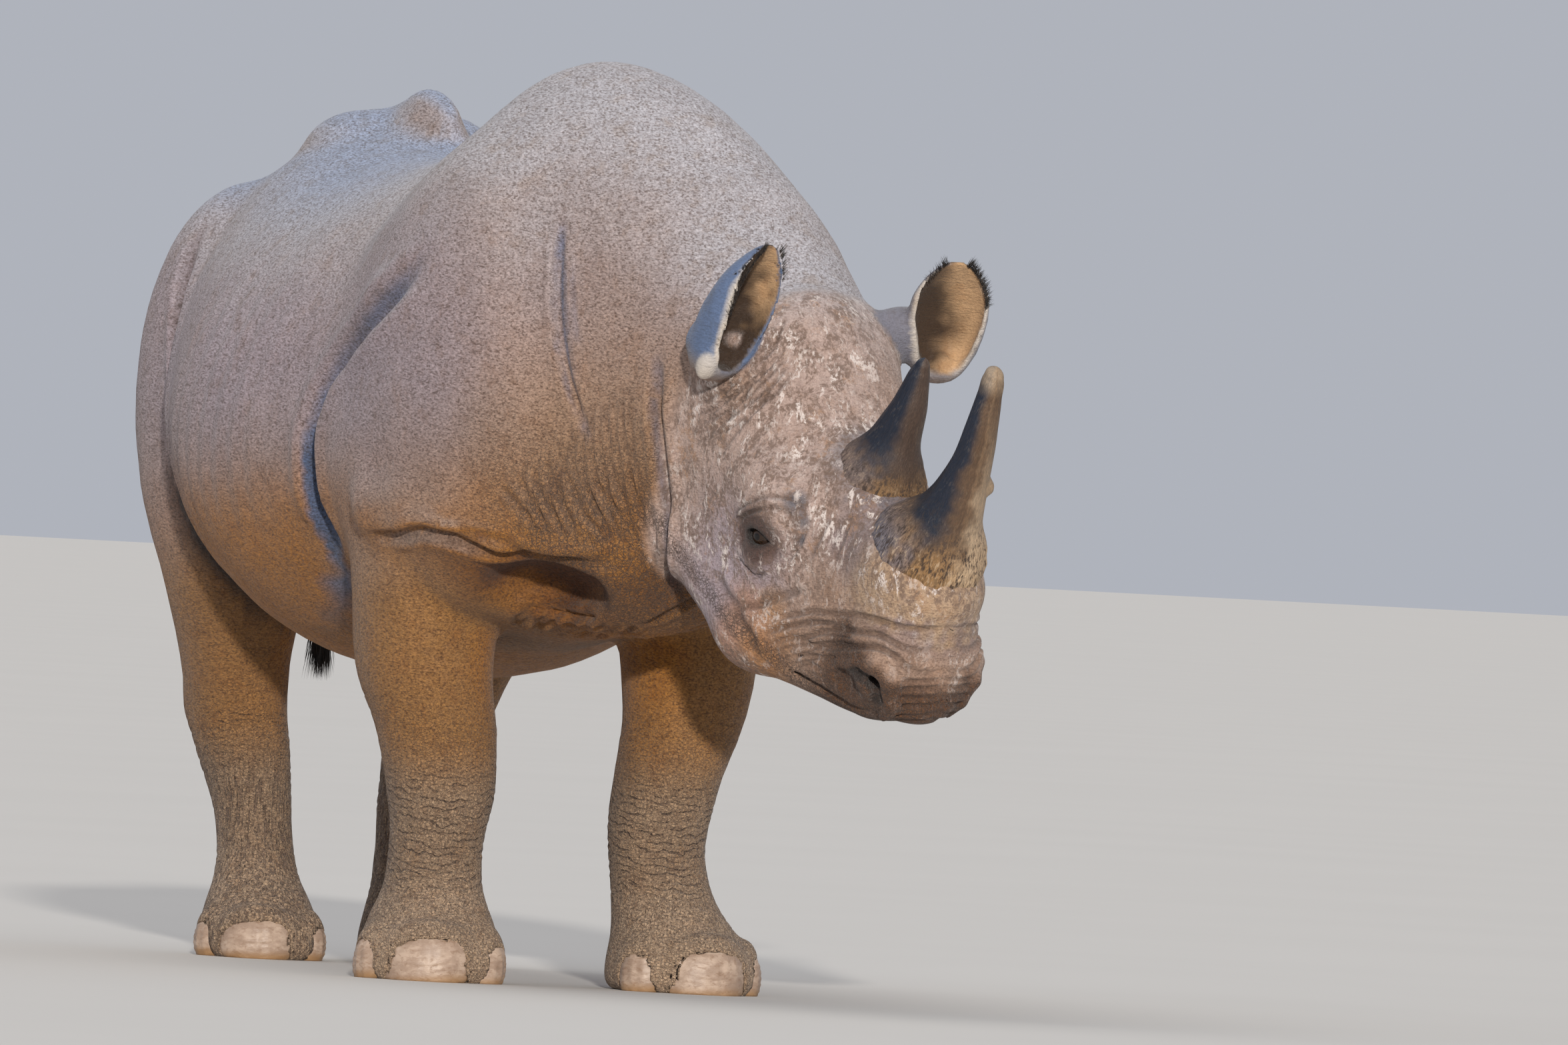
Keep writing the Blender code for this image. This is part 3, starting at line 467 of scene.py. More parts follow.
# Left nostril and left half of the mouth: (u, s, v) points, most with radii
NOSTRIL_RIM = (((.578, .098, -.136), .008), ((.592, .103, -.100), .010), ((.630, .106, -.062), .011),
               ((.668, .101, -.036), .012), ((.699, .084, -.052), .012), ((.705, .070, -.092), .011),
               ((.694, .062, -.132), .009))
NOSTRIL_HOLE = (((.606, .116, -.112), .007), ((.646, .118, -.076), .012), ((.678, .106, -.070), .013),
                ((.688, .092, -.098), .011), ((.676, .084, -.128), .006))
NOSTRIL_DEEP = (((.676, .100, -.078), .0125), ((.630, .062, -.066), .011), ((.585, .035, -.060), .006))
NOSTRIL_DISH = ((.622, .108, -.122), (.034, .016, .026))
MOUTH = ((.744, 0, -.106), (.730, .030, -.118), (.700, .056, -.138), (.660, .072, -.156),
         (.610, .084, -.168), (.560, .094, -.178), (.512, .104, -.190), (.470, .112, -.196))


def mirrored(points, s):
    """Head points as they are (s = 1) or on the head's other side (s = -1)."""
    return [(u, s * side, v) for u, side, v in points]


def mirrored_rods(stations, s):
    return [((u, s * side, v), radius) for (u, side, v), radius in stations]


def nostrilled(h, d):
    """Raises the comma-shaped rim of each nostril and hollows it out."""
    for s in (-1, 1):
        d = join(d, rods(h, mirrored_rods(NOSTRIL_RIM, s), .012), .016)
        d = keep(d, -oval(h, mirrored(NOSTRIL_DISH[:1], s)[0], NOSTRIL_DISH[1]), .012)
        for chain in (NOSTRIL_HOLE, NOSTRIL_DEEP):
            d = keep(d, -rods(h, mirrored_rods(chain, s), .006), .006)
    return d


def head_form(h):
    """Skull with mouth line, nostrils and lidded eyes."""
    d = skull_form(h)
    front = h[..., 0] > .44
    if front.any():
        q, part = h[front], d[front]
        part = nostrilled(q, part)
        for s in (-1, 1):
            line = mirrored(MOUTH, s)
            slot = rods(q, [(m, .0045 if i else .003) for i, m in enumerate(line)], .004)
            part = keep(part, -slot, .009)
        d[front] = part
    eyes = (np.abs(h[..., 0] - EYE_U) < .11) & (np.abs(h[..., 1]) > .08) & (np.abs(h[..., 2] - EYE_V) < .11)
    if eyes.any():
        d[eyes] = lidded(h[eyes], d[eyes])
    return d


def nail_frame(foot, which):
    """Middle of a nail, the turn of its bearing and its half width and half height."""
    end, side = foot.split("_")
    bearing, half, height = {n[0]: n[1:] for n in NAILS}[which]
    scale = 1.0 if end == "front" else HIND_NAIL
    x, y, wide, back, front = at(LEG_TABLES[foot], 0.035)
    turn = np.radians((bearing - TOES_OUT[side]) * (1 if side == "right" else -1))
    direction = np.array([np.sin(turn), -np.cos(turn), 0.0])
    reach = 1 / np.sqrt((direction[0] / wide) ** 2 + (direction[1] / front) ** 2)
    return np.array([x, y, 0.030]) + direction * (reach - 0.016), turn, half * scale, height * scale


def nail_place(p, foot, which):
    """Offsets of points from a nail: sideways, outward along the bent foot, and up."""
    centre, turn, half, height = nail_frame(foot, which)
    q = p - centre
    side = q[..., 0] * np.cos(turn) + q[..., 1] * np.sin(turn)
    inward = -q[..., 0] * np.sin(turn) + q[..., 1] * np.cos(turn)
    bend = NAIL_BEND - np.sqrt(np.maximum(NAIL_BEND**2 - side**2, 1e-4))
    return np.stack([side, bend - inward, q[..., 2]], -1), half, height


def foot_form(p, name):
    """One leg, its foot puffed into a lobe over each nail with a groove along the nail's edge."""
    d = leg_form(p, LEG_TABLES[name])
    low = p[..., 2] < .17
    if low.any():
        q, part = p[low], d[low]
        for which, _, _, _ in NAILS:
            e, half, height = nail_place(q, name, which)
            lobe = oval(e, (0, -.004, .012), (half * 1.10, .030, height * 1.22))
            part = join(part, lobe, .020)
        for which, _, _, _ in NAILS:
            e, half, height = nail_place(q, name, which)
            rim = oval(e, (0, .002, 0), (half, .028, height))
            part = keep(part, -rim, .006)
        d[low] = part
    return d


def in_box(p, low, high):
    return ((p > np.array(low)) & (p < np.array(high))).all(-1)


def hide_form(p):
    """The whole hide: trunk, legs, head, ears and tail blended into one."""
    d = trunk_form(p)
    for name, table in LEG_TABLES.items():
        x, y = table[1][:, 0], table[1][:, 1]
        near = in_box(p, (x.min() - .36, y.min() - .42, -1),
                      (x.max() + .36, y.max() + .42, table[0][-1] + .2))
        if near.any():
            d[near] = join(d[near], foot_form(p[near], name), .030 if "front" in name else .04)
    d = armpits(p, d)
    h = to_head(p)
    near = in_box(h, (-.25, -.45, -.5), (.95, .48, .55))
    if near.any():
        d[near] = join(d[near], head_form(h[near]), .020 + .040 * ramp(h[near][:, 2], .0, .14))
    for side in EAR_ENDS:
        foot = np.array(EAR_ENDS[side][0])
        near = in_box(h, foot - (.14, .16, .10), foot + (.14, .20, .34))
        if near.any():
            d[near] = join(d[near], ear_form(h[near], side), .014)
    near = in_box(p, (-.15, 1.3, .5), (.17, 1.7, 1.5))
    if near.any():
        d[near] = join(d[near], tail_form(p[near]), .030)
    return d


# ---- noise and ramps
def ramp(x, a, b):
    """Smooth step from 0 at a to 1 at b, either way round."""
    t = np.clip((x - a) / (b - a), 0, 1)
    return t * t * (3 - 2 * t)


def scatter(i, seed):
    """A fixed random number from -1 to 1 for every lattice point."""
    n = (i[..., 0] * 374761393 + i[..., 1] * 668265263 + i[..., 2] * 1274126177 + seed * 69069) & 0xffffffff
    n = ((n ^ (n >> 13)) * 1274126177) & 0xffffffff
    return ((n ^ (n >> 16)) & 0xffff) / 32767.5 - 1


def clouds(p, size, seed=0):
    """Smooth noise, -1 to 1: fixed random numbers at the corners of cells of that size, blended between."""
    q = np.asarray(p, float) / size
    i = np.floor(q).astype(np.int64)
    f = q - i
    f = f * f * (3 - 2 * f)
    total = 0
    for corner in np.ndindex(2, 2, 2):
        c = np.array(corner)
        total = total + np.where(c, f, 1 - f).prod(-1) * scatter(i + c, seed)
    return total


# ---- folds and creases
# Folds of the head: points on its right side (u, s, v), half width, depth; the left side mirrors them
HEAD_FOLDS = (
    (((.264, -.164, -.071), (.292, -.169, -.016), (.327, -.165, .027), (.355, -.149, .039),
      (.379, -.138, .030)), .0045, .0052),
    (((.252, -.166, -.058), (.285, -.173, .001), (.325, -.158, .048), (.358, -.133, .058),
      (.381, -.125, .048)), .0040, .0039),
    (((.283, -.160, -.095), (.300, -.158, -.104), (.329, -.153, -.104), (.353, -.148, -.102),
      (.364, -.145, -.085), (.359, -.148, -.064), (.353, -.150, -.041)), .0030, .0055),
    (((.300, -.158, -.086), (.325, -.154, -.090), (.348, -.149, -.086)), .0025, .0026),
    (((.392, -.125, .035), (.399, -.131, .002), (.395, -.136, -.029), (.388, -.139, -.051)), .0035, .0078),
    (((.356, -.157, -.170), (.386, -.142, -.141), (.410, -.130, -.101), (.447, -.122, -.056)), .0055, .0062),
    (((.275, -.163, -.165), (.320, -.160, -.172), (.347, -.159, -.172), (.369, -.158, -.185),
      (.389, -.153, -.191), (.431, -.131, -.224)), .0090, .0072),
    (((.415, -.134, -.147), (.454, -.121, -.106), (.481, -.116, -.078), (.533, -.110, -.037),
      (.586, -.105, .003), (.630, -.094, .026), (.658, -.076, .038), (.678, -.044, .048),
      (.686, 0, .058)), .0045, .0078),
    (((.416, -.141, -.180), (.449, -.126, -.136), (.490, -.116, -.091), (.521, -.111, -.068),
      (.555, -.108, -.040)), .0045, .0059),
    (((.444, -.134, -.179), (.463, -.127, -.152), (.498, -.118, -.120), (.520, -.113, -.088),
      (.578, -.110, -.036), (.606, -.108, -.016), (.645, -.097, .005), (.672, -.081, .008),
      (.689, -.056, .010), (.696, -.021, .018), (.698, 0, .020)), .0045, .0084),
    (((.471, -.127, -.174), (.486, -.122, -.144), (.515, -.116, -.123), (.555, -.110, -.090),
      (.600, -.113, -.054), (.629, -.113, -.030), (.661, -.099, -.009), (.677, -.088, -.007),
      (.699, -.070, -.017), (.710, -.043, -.021), (.714, 0, -.012)), .0050, .0091),
    (((.504, -.118, -.177), (.533, -.114, -.150), (.559, -.110, -.143)), .0040, .0052),
    (((.490, -.118, -.165), (.515, -.115, -.142), (.545, -.112, -.118)), .0035, .0046),
    (((.707, -.072, -.039), (.716, -.036, -.032), (.720, 0, -.028)), .0032, .0044),
    (((.708, -.075, -.054), (.721, -.039, -.045), (.725, 0, -.040)), .0032, .0044),
    (((.707, -.077, -.073), (.725, -.043, -.063), (.733, 0, -.054)), .0034, .0049),
    (((.703, -.076, -.093), (.728, -.044, -.079), (.737, 0, -.069)), .0034, .0049),
    (((.699, -.066, -.114), (.730, -.036, -.099), (.740, 0, -.084)), .0034, .0044),
    (((.061, -.133, .213), (.071, -.141, .189), (.090, -.162, .169), (.114, -.200, .156)), .0030, .0039),
    (((.112, -.082, .195), (.127, -.120, .155), (.135, -.143, .109), (.134, -.156, .069),
      (.129, -.163, .042), (.110, -.165, .000)), .0034, .0052),
    (((.124, -.124, .153), (.116, -.155, .091), (.092, -.170, .025)), .0034, .0052),
    (((.069, -.118, .239), (.087, -.130, .208), (.111, -.148, .182)), .0028, .0034),
    (((.063, -.064, .223), (.097, -.095, .193), (.112, -.117, .169)), .0028, .0034),
    (((.080, -.150, .180), (.104, -.158, .120), (.110, -.164, .070), (.095, -.168, .030)), .0032, .0044),
    (((.150, -.100, .165), (.165, -.135, .110), (.168, -.155, .050), (.160, -.166, -.010)), .0032, .0034),
    (((.430, -.085, .100), (.452, -.100, .070), (.470, -.108, .030)), .0040, .0044),
    (((.405, -.105, .075), (.420, -.118, .035), (.430, -.122, -.010)), .0040, .0039),
)
# Folds of the body on its right side: (x, y, z) points, half width, depth, strength of bluish and of dark
# painted shade
BODY_FOLDS = (
    (((-.352, -.190, 1.232), (-.380, -.100, 1.172), (-.390, .040, 1.105),
      (-.398, .160, 1.038), (-.407, .217, .965), (-.409, .235, .895), (-.399, .250, .820),
      (-.385, .250, .760), (-.350, .290, .700)), .024, .028, 1.0, .45),
    (((-.172, -.400, 1.320), (-.184, -.436, 1.221), (-.186, -.455, 1.154), (-.181, -.470, 1.101),
      (-.173, -.482, 1.048), (-.160, -.499, .996), (-.143, -.523, .944)), .0085, .0115, 1.0, .30),
    (((-.190, -.420, 1.270), (-.192, -.445, 1.173), (-.190, -.462, 1.104), (-.180, -.478, 1.046)),
     .006, .0035, .25, 0),
    (((-.170, -.430, 1.270), (-.176, -.464, 1.165), (-.170, -.484, 1.100), (-.160, -.500, 1.040)),
     .006, .0035, .25, 0),
    (((-.162, -.448, 1.240), (-.165, -.476, 1.160), (-.160, -.496, 1.100)), .005, .0030, .2, 0),
    (((-.392, -.010, .742), (-.372, -.070, .756), (-.352, -.115, .766), (-.325, -.210, .778),
      (-.300, -.265, .768), (-.273, -.296, .757), (-.228, -.335, .744), (-.180, -.405, .733),
      (-.133, -.480, .731), (-.085, -.535, .742)), .0105, .017, 0, .9),
    (((-.300, -.230, .790), (-.262, -.270, .800), (-.215, -.330, .790), (-.165, -.410, .775)),
     .008, .005, 0, .3),
    (((-.335, 1.215, 1.300), (-.372, 1.190, 1.230), (-.398, 1.160, 1.150), (-.416, 1.125, 1.060),
      (-.426, 1.085, .980), (-.424, 1.045, .900), (-.412, 1.005, .830), (-.390, .985, .770),
      (-.350, .985, .700), (-.300, 1.005, .640)), .016, .016, .10, 1.0),
    (((-.065, -.640, 1.100), (-.066, -.647, 1.040), (-.064, -.650, .990), (-.057, -.652, .950),
      (-.046, -.650, .884), (-.038, -.644, .831), (-.030, -.640, .778), (.001, -.580, .725),
      (.032, -.526, .685)), .0110, .018, .8, .9),
    (((-.300, 1.420, 1.020), (-.300, 1.440, .900), (-.270, 1.440, .780)), .016, .006, 0, .3),
    (((.005, -.420, .640), (.035, -.490, .665), (.080, -.540, .700)), .008, .008, 0, .8),
    (((.060, -.250, .600), (.085, -.330, .625), (.120, -.400, .660)), .008, .008, 0, .8),
    (((.100, -.180, .590), (.135, -.270, .610), (.165, -.340, .640)), .007, .006, 0, .7),
)
# Thick rolls of the hide over a hollow: (point, radius) stations, blend
ROLLS = (
    ((((-.352, -.035, .815), .050), ((-.318, -.150, .825), .052), ((-.265, -.235, .815), .048),
      ((-.205, -.315, .795), .044), ((-.140, -.420, .785), .040)), .045),
)
# Hollow of the armpit: centre, radii, blend
ARMPIT = ((-.150, -.350, .683), (.098, .150, .060), .040)
# Brown shade in the armpit and its darkest part: (point, radius) stations on the right side
PIT_SHADE = (((-.262, -.230, .745), .030), ((-.200, -.250, .705), .060), ((-.130, -.270, .690), .075),
             ((-.080, -.400, .700), .060), ((.010, -.530, .700), .035))
PIT_DEEP = (((-.190, -.270, .715), .030), ((-.130, -.300, .700), .048), ((-.090, -.400, .715), .035))
# Painted bluish shadow that shoulder and foreleg cast on the barrel behind them: (point, radius) stations on
# the right side
SHADOW_BAND = (((-.389, .035, 1.102), .010), ((-.397, .150, 1.037), .024), ((-.404, .196, .980), .028),
              ((-.408, .224, .928), .028), ((-.403, .240, .875), .027), ((-.388, .250, .825), .028),
              ((-.362, .268, .768), .026), ((-.323, .288, .735), .020), ((-.305, .318, .702), .022),
              ((-.286, .396, .644), .025), ((-.243, .547, .586), .040))
# Fans of wavy wrinkles between two lines of the body: first line, last line, how many, width, depth
BODY_FANS = (
    (((-.165, -.490, .985), (-.176, -.480, .900), (-.150, -.500, .835), (-.105, -.530, .775)),
     ((-.095, -.600, 1.060), (-.085, -.612, .960), (-.070, -.618, .870), (-.040, -.590, .790)),
     9, .0050, .0042),
    (((-.230, -.420, .900), (-.215, -.400, .830), (-.190, -.400, .770)),
     ((-.172, -.480, .930), (-.160, -.490, .850), (-.120, -.500, .780)), 4, .0050, .0030),
    (((-.160, -.290, .650), (-.150, -.190, .628), (-.140, -.080, .612)),
     ((.030, -.420, .645), (.010, -.240, .618), (.010, -.100, .605)), 10, .0065, .0080),
    (((-.175, -.480, .880), (-.150, -.520, .820), (-.110, -.540, .760)),
     ((-.080, -.600, .900), (-.060, -.600, .830), (-.045, -.590, .770)), 6, .0060, .0050),
    (((-.250, -.360, .860), (-.215, -.400, .810), (-.180, -.430, .775)),
     ((-.180, -.470, .900), (-.160, -.490, .830), (-.135, -.500, .775)), 4, .0060, .0042),
)
# The same on the head (u, s, v)
HEAD_FANS = (
    (((.030, -.172, .030), (.085, -.167, .110), (.100, -.137, .175), (.085, -.105, .225)),
     ((.105, -.172, -.030), (.160, -.150, .060), (.172, -.110, .130), (.150, -.060, .180)), 6, .0032, .0034),
    (((.420, -.140, -.190), (.470, -.125, -.130), (.560, -.112, -.055), (.650, -.098, -.005)),
     ((.500, -.118, -.185), (.530, -.116, -.150), (.570, -.110, -.105), (.600, -.112, -.070)),
     4, .0026, .0026),
)
# Wrinkle rings round the legs of both sides: end, lowest and highest z, pitch, depth, sag in front
LEG_RINGS = (
    ("front", .175, .335, .0165, .0026, .020), ("front", .36, .50, .024, .0014, .016),
    ("hind", .26, .42, .022, .0020, -.010), ("hind", .11, .20, .016, .0016, .012),
    ("front", .10, .175, .015, .0014, .014),
)


def slope_of(form, p, reach):
    """Value of a form and its slope by central differences."""
    steps = np.eye(3) * reach
    grad = np.stack([form(p + e) - form(p - e) for e in steps], -1) / (2 * reach)
    return form(p), grad


def settled(form, p, rounds=3, reach=5e-4, most=.02):
    """Points moved along a form's slope until they lie on it."""
    for _ in range(rounds):
        f, grad = slope_of(form, p, reach)
        step = f[:, None] * grad / np.maximum((grad**2).sum(-1, keepdims=True), 0.2)
        p = p - np.clip(step, -most, most)
    return p


def smooth_line(points, spacing, seed, wave):
    """Curve through points at an even spacing, waving a little from side to side."""
    points = np.array(points, float)
    along = np.concatenate([[0], np.cumsum(np.linalg.norm(np.diff(points, axis=0), axis=1))])
    q, curve = spline(np.column_stack([along, points]))
    s = np.linspace(0, along[-1], max(int(along[-1] / spacing), 3))
    line = np.stack([np.interp(s, q, c) for c in curve.T], -1)
    drift = np.stack([clouds(np.stack([s, s * 0 + 7 * k, s * 0], -1), .045, seed) for k in range(3)], -1)
    return line + wave * drift * np.minimum(1, np.minimum(s, s[-1] - s) / .03)[:, None]


def other_side(points):
    """Body points mirrored across the neck and trunk's bent middle plane."""
    points = np.array(points, float)
    centre = at(TRUNK_TABLE, points[:, 1])[0]
    return np.column_stack([2 * centre - points[:, 0], points[:, 1:]])


def fan(first, last, count, spacing):
    """That many lines spread evenly between two lines."""
    rows = [smooth_line(line, spacing, 0, 0) for line in (first, last)]
    size = min(len(r) for r in rows)
    rows = [r[np.linspace(0, len(r) - 1, size).round().astype(int)] for r in rows]
    shares = [(k + .5) / count for k in range(count)]
    return [rows[0] * (1 - share) + rows[1] * share for share in shares]


def all_folds():
    """Every fold as (points laid on the hide, half width, depth, strength of its bluish painted shade,
    strength of its dark painted shade).
    """
    head = [(*fold, 1.0, i, .0012) for i, fold in enumerate(HEAD_FOLDS)]
    for first, last, count, width, depth in HEAD_FANS:
        lines = fan(first, last, count, .012)
        head += [(line, width, depth, .85, 60 + k, .003) for k, line in enumerate(lines)]
    folds = []
    for points, width, depth, dark, seed, wave in head:
        for s in (1, -1):
            line = smooth_line(mirrored(points, s), width * .6, seed, wave)
            folds.append((from_head(settled(skull_form, line)), width, depth, 0, dark))
    body = [(*fold, fold[1] * .12) for fold in BODY_FOLDS]
    for first, last, count, width, depth in BODY_FANS:
        body += [(line, width, depth, 0, .5, .005) for line in fan(first, last, count, .02)]
    for i, (points, width, depth, slate_shade, dark, wave) in enumerate(body):
        for k, side in enumerate((np.array(points, float), other_side(points))):
            line = smooth_line(side, width * .6, 100 + 2 * i + k, wave)
            folds.append((settled(hide_form, line), width, depth, slate_shade, dark))
    return folds


# Section of a fold, in half widths: height and place of the swelling beside it, and reach of its shades
SWELLING, SWELLING_AT, SLATE_REACH, DARK_REACH = .42, 2.1, (1.45, .55), .95


def fold_effects(p, folds):
    """Depth of all folds at points (a rounded groove along each line, with a low swelling beside it), and how
    much bluish and how much dark painted shade they get there."""
    total, slate_shade, dark = np.zeros(len(p)), np.zeros(len(p)), np.zeros(len(p))
    # the last two: strengths of the fold's bluish and dark painted shade
    for line, width, depth, blue_shade, black in folds:
        near = np.flatnonzero(in_box(p, line.min(0) - 4 * width, line.max(0) + 4 * width))
        if not len(near):
            continue
        q = p[near]
        square = (q**2).sum(1)[:, None] + (line**2).sum(1) - 2 * q @ line.T
        best = square.argmin(1)
        gap = np.sqrt(np.maximum(square[np.arange(len(q)), best], 0)) / width
        share = best / (len(line) - 1)
        taper = np.minimum(1, np.minimum(share, 1 - share) * 5 + .05)
        total[near] += depth * taper * (np.exp(-gap**2) - SWELLING * np.exp(-(gap - SWELLING_AT) ** 2))
        slate_shade[near] = np.maximum(slate_shade[near], blue_shade * taper * ramp(gap, *SLATE_REACH))
        dark[near] = np.maximum(dark[near], black * taper * np.exp(-(gap / DARK_REACH) ** 2))
    return total, slate_shade, dark


RIB_PITCH = 0.072


def ring_depth(p):
    """Wrinkle rings round knees, hocks and pasterns, and soft ripples over ribs and throat."""
    total = np.zeros(len(p))
    rings = [(f"{end}_{side}", *ring) for end, *ring in LEG_RINGS for side in ("right", "left")]
    for name, low, high, pitch, depth, sag in rings:
        near = np.flatnonzero(in_box(p, (-.45, -.35, low - .03), (.45, 1.7, high + .03)))
        x, y, half, back, front = at(LEG_TABLES[name], p[near][:, 2])
        q = p[near]
        mine = np.hypot(q[:, 0] - x, q[:, 1] - y) < half * 1.6
        near, q, x, y = near[mine], q[mine], x[mine], y[mine]
        ahead = (y - q[:, 1]) / np.hypot(q[:, 0] - x, q[:, 1] - y)
        level = q[:, 2] + sag * ahead + .0045 * clouds(q, .05, 3) + .002 * clouds(q, .018, 4)
        groove = np.exp(-(np.sin(np.pi * level / pitch) / .38) ** 2) - .35
        groove = depth * groove * ramp(q[:, 2], low - .02, low + .02) * ramp(q[:, 2], high + .02, high - .02)
        total[near] += groove * (.75 + .35 * clouds(q, .04, 5))
    y, z = p[:, 1], p[:, 2]
    ribs = ramp(y, .33, .5) * ramp(y, .98, .82) * ramp(z, .68, .85) * ramp(z, 1.3, 1.1)
    total += .0022 * ribs * np.sin(2 * np.pi * (y + .12 * z) / RIB_PITCH)
    total -= .0030 * clouds(p, .16, 8) + .0012 * clouds(p, .055, 9)
    return total


def relief(p, folds):
    """Depth of folds, rings and ripples together."""
    return fold_effects(p, folds)[0] + ring_depth(p)


# ---- the level surface
AT_ONCE = 250000      # lattice points worked out together, to spare memory
MARGIN = 1.75         # cell widths within which a coarse cell may hold the surface
LID_REACH, LID_FINE, LID_SETTLE = .058, .036, .062         # reaches of the finer net round the eyes


def sampled(form, low, cells, step):
    """A form's values on a lattice, worked out near its surface only: in coarse cells first, then finer."""
    values = None
    for stride in (16, 4, 1):
        n = [c // stride for c in cells]
        if values is None:
            wanted, fresh = np.ones([m + 1 for m in n], bool), np.zeros([m + 1 for m in n], np.float32)
        else:
            near = np.abs(values) < MARGIN * 4 * stride * step
            m = [s - 1 for s in values.shape]
            block = np.zeros(m, bool)
            for i, j, k in np.ndindex(2, 2, 2):
                block |= near[i:i + m[0], j:j + m[1], k:k + m[2]]
            for axis in range(3):
                block = block.repeat(4, axis)
            wanted = np.zeros([s + 1 for s in n], bool)
            for i, j, k in np.ndindex(2, 2, 2):
                wanted[i:i + n[0], j:j + n[1], k:k + n[2]] |= block
            nearest = [np.minimum((np.arange(s + 1) + 2) // 4, c) for s, c in zip(n, m)]
            fresh = values[np.ix_(*nearest)]
        index = np.argwhere(wanted)
        found = np.empty(len(index), np.float32)
        for start in range(0, len(index), AT_ONCE):
            part = slice(start, start + AT_ONCE)
            found[part] = form(low + index[part] * (stride * step))
        fresh[wanted] = found
        values = fresh
    return values


def net(values, low, step):
    """Closed quad mesh between inside and outside: one vertex in every cell that the surface crosses, at
    the mean of its crossings with the cell's edges, and one quad round every lattice edge it crosses."""
    inside = values < 0
    n = [s - 1 for s in values.shape]
    count = np.zeros(n, np.int8)
    for i, j, k in np.ndindex(2, 2, 2):
        count += inside[i:i + n[0], j:j + n[1], k:k + n[2]]
    cells = np.argwhere((count > 0) & (count < 8))
    number = np.full(n, -1, np.int32)
    number[tuple(cells.T)] = np.arange(len(cells))
    total, hits = np.zeros((len(cells), 3)), np.zeros(len(cells))
    for axis in range(3):
        one, two = (axis + 1) % 3, (axis + 2) % 3
        for i, j in np.ndindex(2, 2):
            a = cells.copy()
            a[:, one] += i
            a[:, two] += j
            b = a.copy()
            b[:, axis] += 1
            va, vb = values[tuple(a.T)], values[tuple(b.T)]
            cross = np.flatnonzero((va < 0) != (vb < 0))
            point = a[cross].astype(float)
            point[:, axis] += va[cross] / (va[cross] - vb[cross])
            total[cross] += point
            hits[cross] += 1
    quads = []
    for axis in range(3):
        one, two = (axis + 1) % 3, (axis + 2) % 3
        first, second = [slice(None)] * 3, [slice(None)] * 3
        first[axis], second[axis] = slice(0, -1), slice(1, None)
        edge = np.argwhere(inside[tuple(first)] != inside[tuple(second)])
        edge = edge[((edge[:, [one, two]] > 0) & (edge[:, [one, two]] < (n[one], n[two]))).all(1)]
        corners = []
        for i, j in ((1, 1), (0, 1), (0, 0), (1, 0)):
            c = edge.copy()
            c[:, one] -= i
            c[:, two] -= j
            corners.append(number[tuple(c.T)])
        quad = np.stack(corners, -1)
        turned = ~inside[tuple(edge.T)]
        quad[turned] = quad[turned][:, ::-1]
        quads.append(quad)
    return low + step * total / hits[:, None], np.concatenate(quads)


# ---- Blender helpers
def surface_object(name, points, faces, slot_name, material, replaced=()):
    """Smooth piece of the model, riding on the CAD body."""
    mesh = bpy.data.meshes.new(name)
    if isinstance(faces, np.ndarray):
        sides = faces.shape[1]
        mesh.vertices.add(len(points))
        mesh.vertices.foreach_set("co", np.asarray(points, np.float32).ravel())
        mesh.loops.add(faces.size)
        mesh.loops.foreach_set("vertex_index", faces.astype(np.int32).ravel())
        mesh.polygons.add(len(faces))
        mesh.polygons.foreach_set("loop_start", np.arange(0, faces.size, sides, dtype=np.int32))
        mesh.update(calc_edges=True)
        mesh.validate()
    else:
        mesh.from_pydata(np.asarray(points).tolist(), [], faces)
    obj = bpy.data.objects.new(name, mesh)
    bpy.context.scene.collection.objects.link(obj)
    mesh.shade_smooth()
    if material:
        mesh.materials.append(material)
    if slot_name:
        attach(obj, "root")
    if replaced:
        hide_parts(*replaced)
    return obj


def flat_rows(values):
    """A grid's values in the order of wrapped()'s vertices."""
    return np.concatenate([values[0, :1], values[1:-1].reshape(-1, *values.shape[2:]), values[-1, :1]])


def wrapped(points):
    """Vertices and faces of a grid of rings whose first and last rows shrink to single points."""
    rows, cols = points.shape[:2]
    flat = flat_rows(points)
    ring = lambda r: 1 + (r - 1) * cols + np.arange(cols)
    quads = []
    for r in range(1, rows - 2):
        a, b = ring(r), ring(r + 1)
        quads.append(np.stack([a, np.roll(a, -1), np.roll(b, -1), b], -1))
    faces = np.concatenate(quads).tolist()
    a, b = ring(1), ring(rows - 2)
    faces += np.stack([np.zeros(cols, int), np.roll(a, -1), a], -1).tolist()
    faces += np.stack([np.full(cols, len(flat) - 1), b, np.roll(b, -1)], -1).tolist()
    return flat, faces


def vertex_values(obj, name, values):
    """Writes a number or a colour for every vertex."""
    values = np.asarray(values, np.float32)
    kind = "FLOAT" if values.ndim == 1 else "FLOAT_COLOR"
    if kind == "FLOAT_COLOR" and values.shape[1] == 3:
        values = np.column_stack([values, np.ones(len(values), np.float32)])
    layer = obj.data.attributes.new(name, kind, "POINT")
    layer.data.foreach_set("value" if kind == "FLOAT" else "color", values.ravel())


def read_out(rows, key):
    """Three numbers for every row, such as a mesh's points."""
    values = np.empty(len(rows) * 3, np.float32)
    rows.foreach_get(key, values)
    return values.reshape(-1, 3).astype(float)


def places(obj):
    return read_out(obj.data.vertices, "co")


def normals(obj):
    return read_out(obj.data.vertex_normals, "vector")


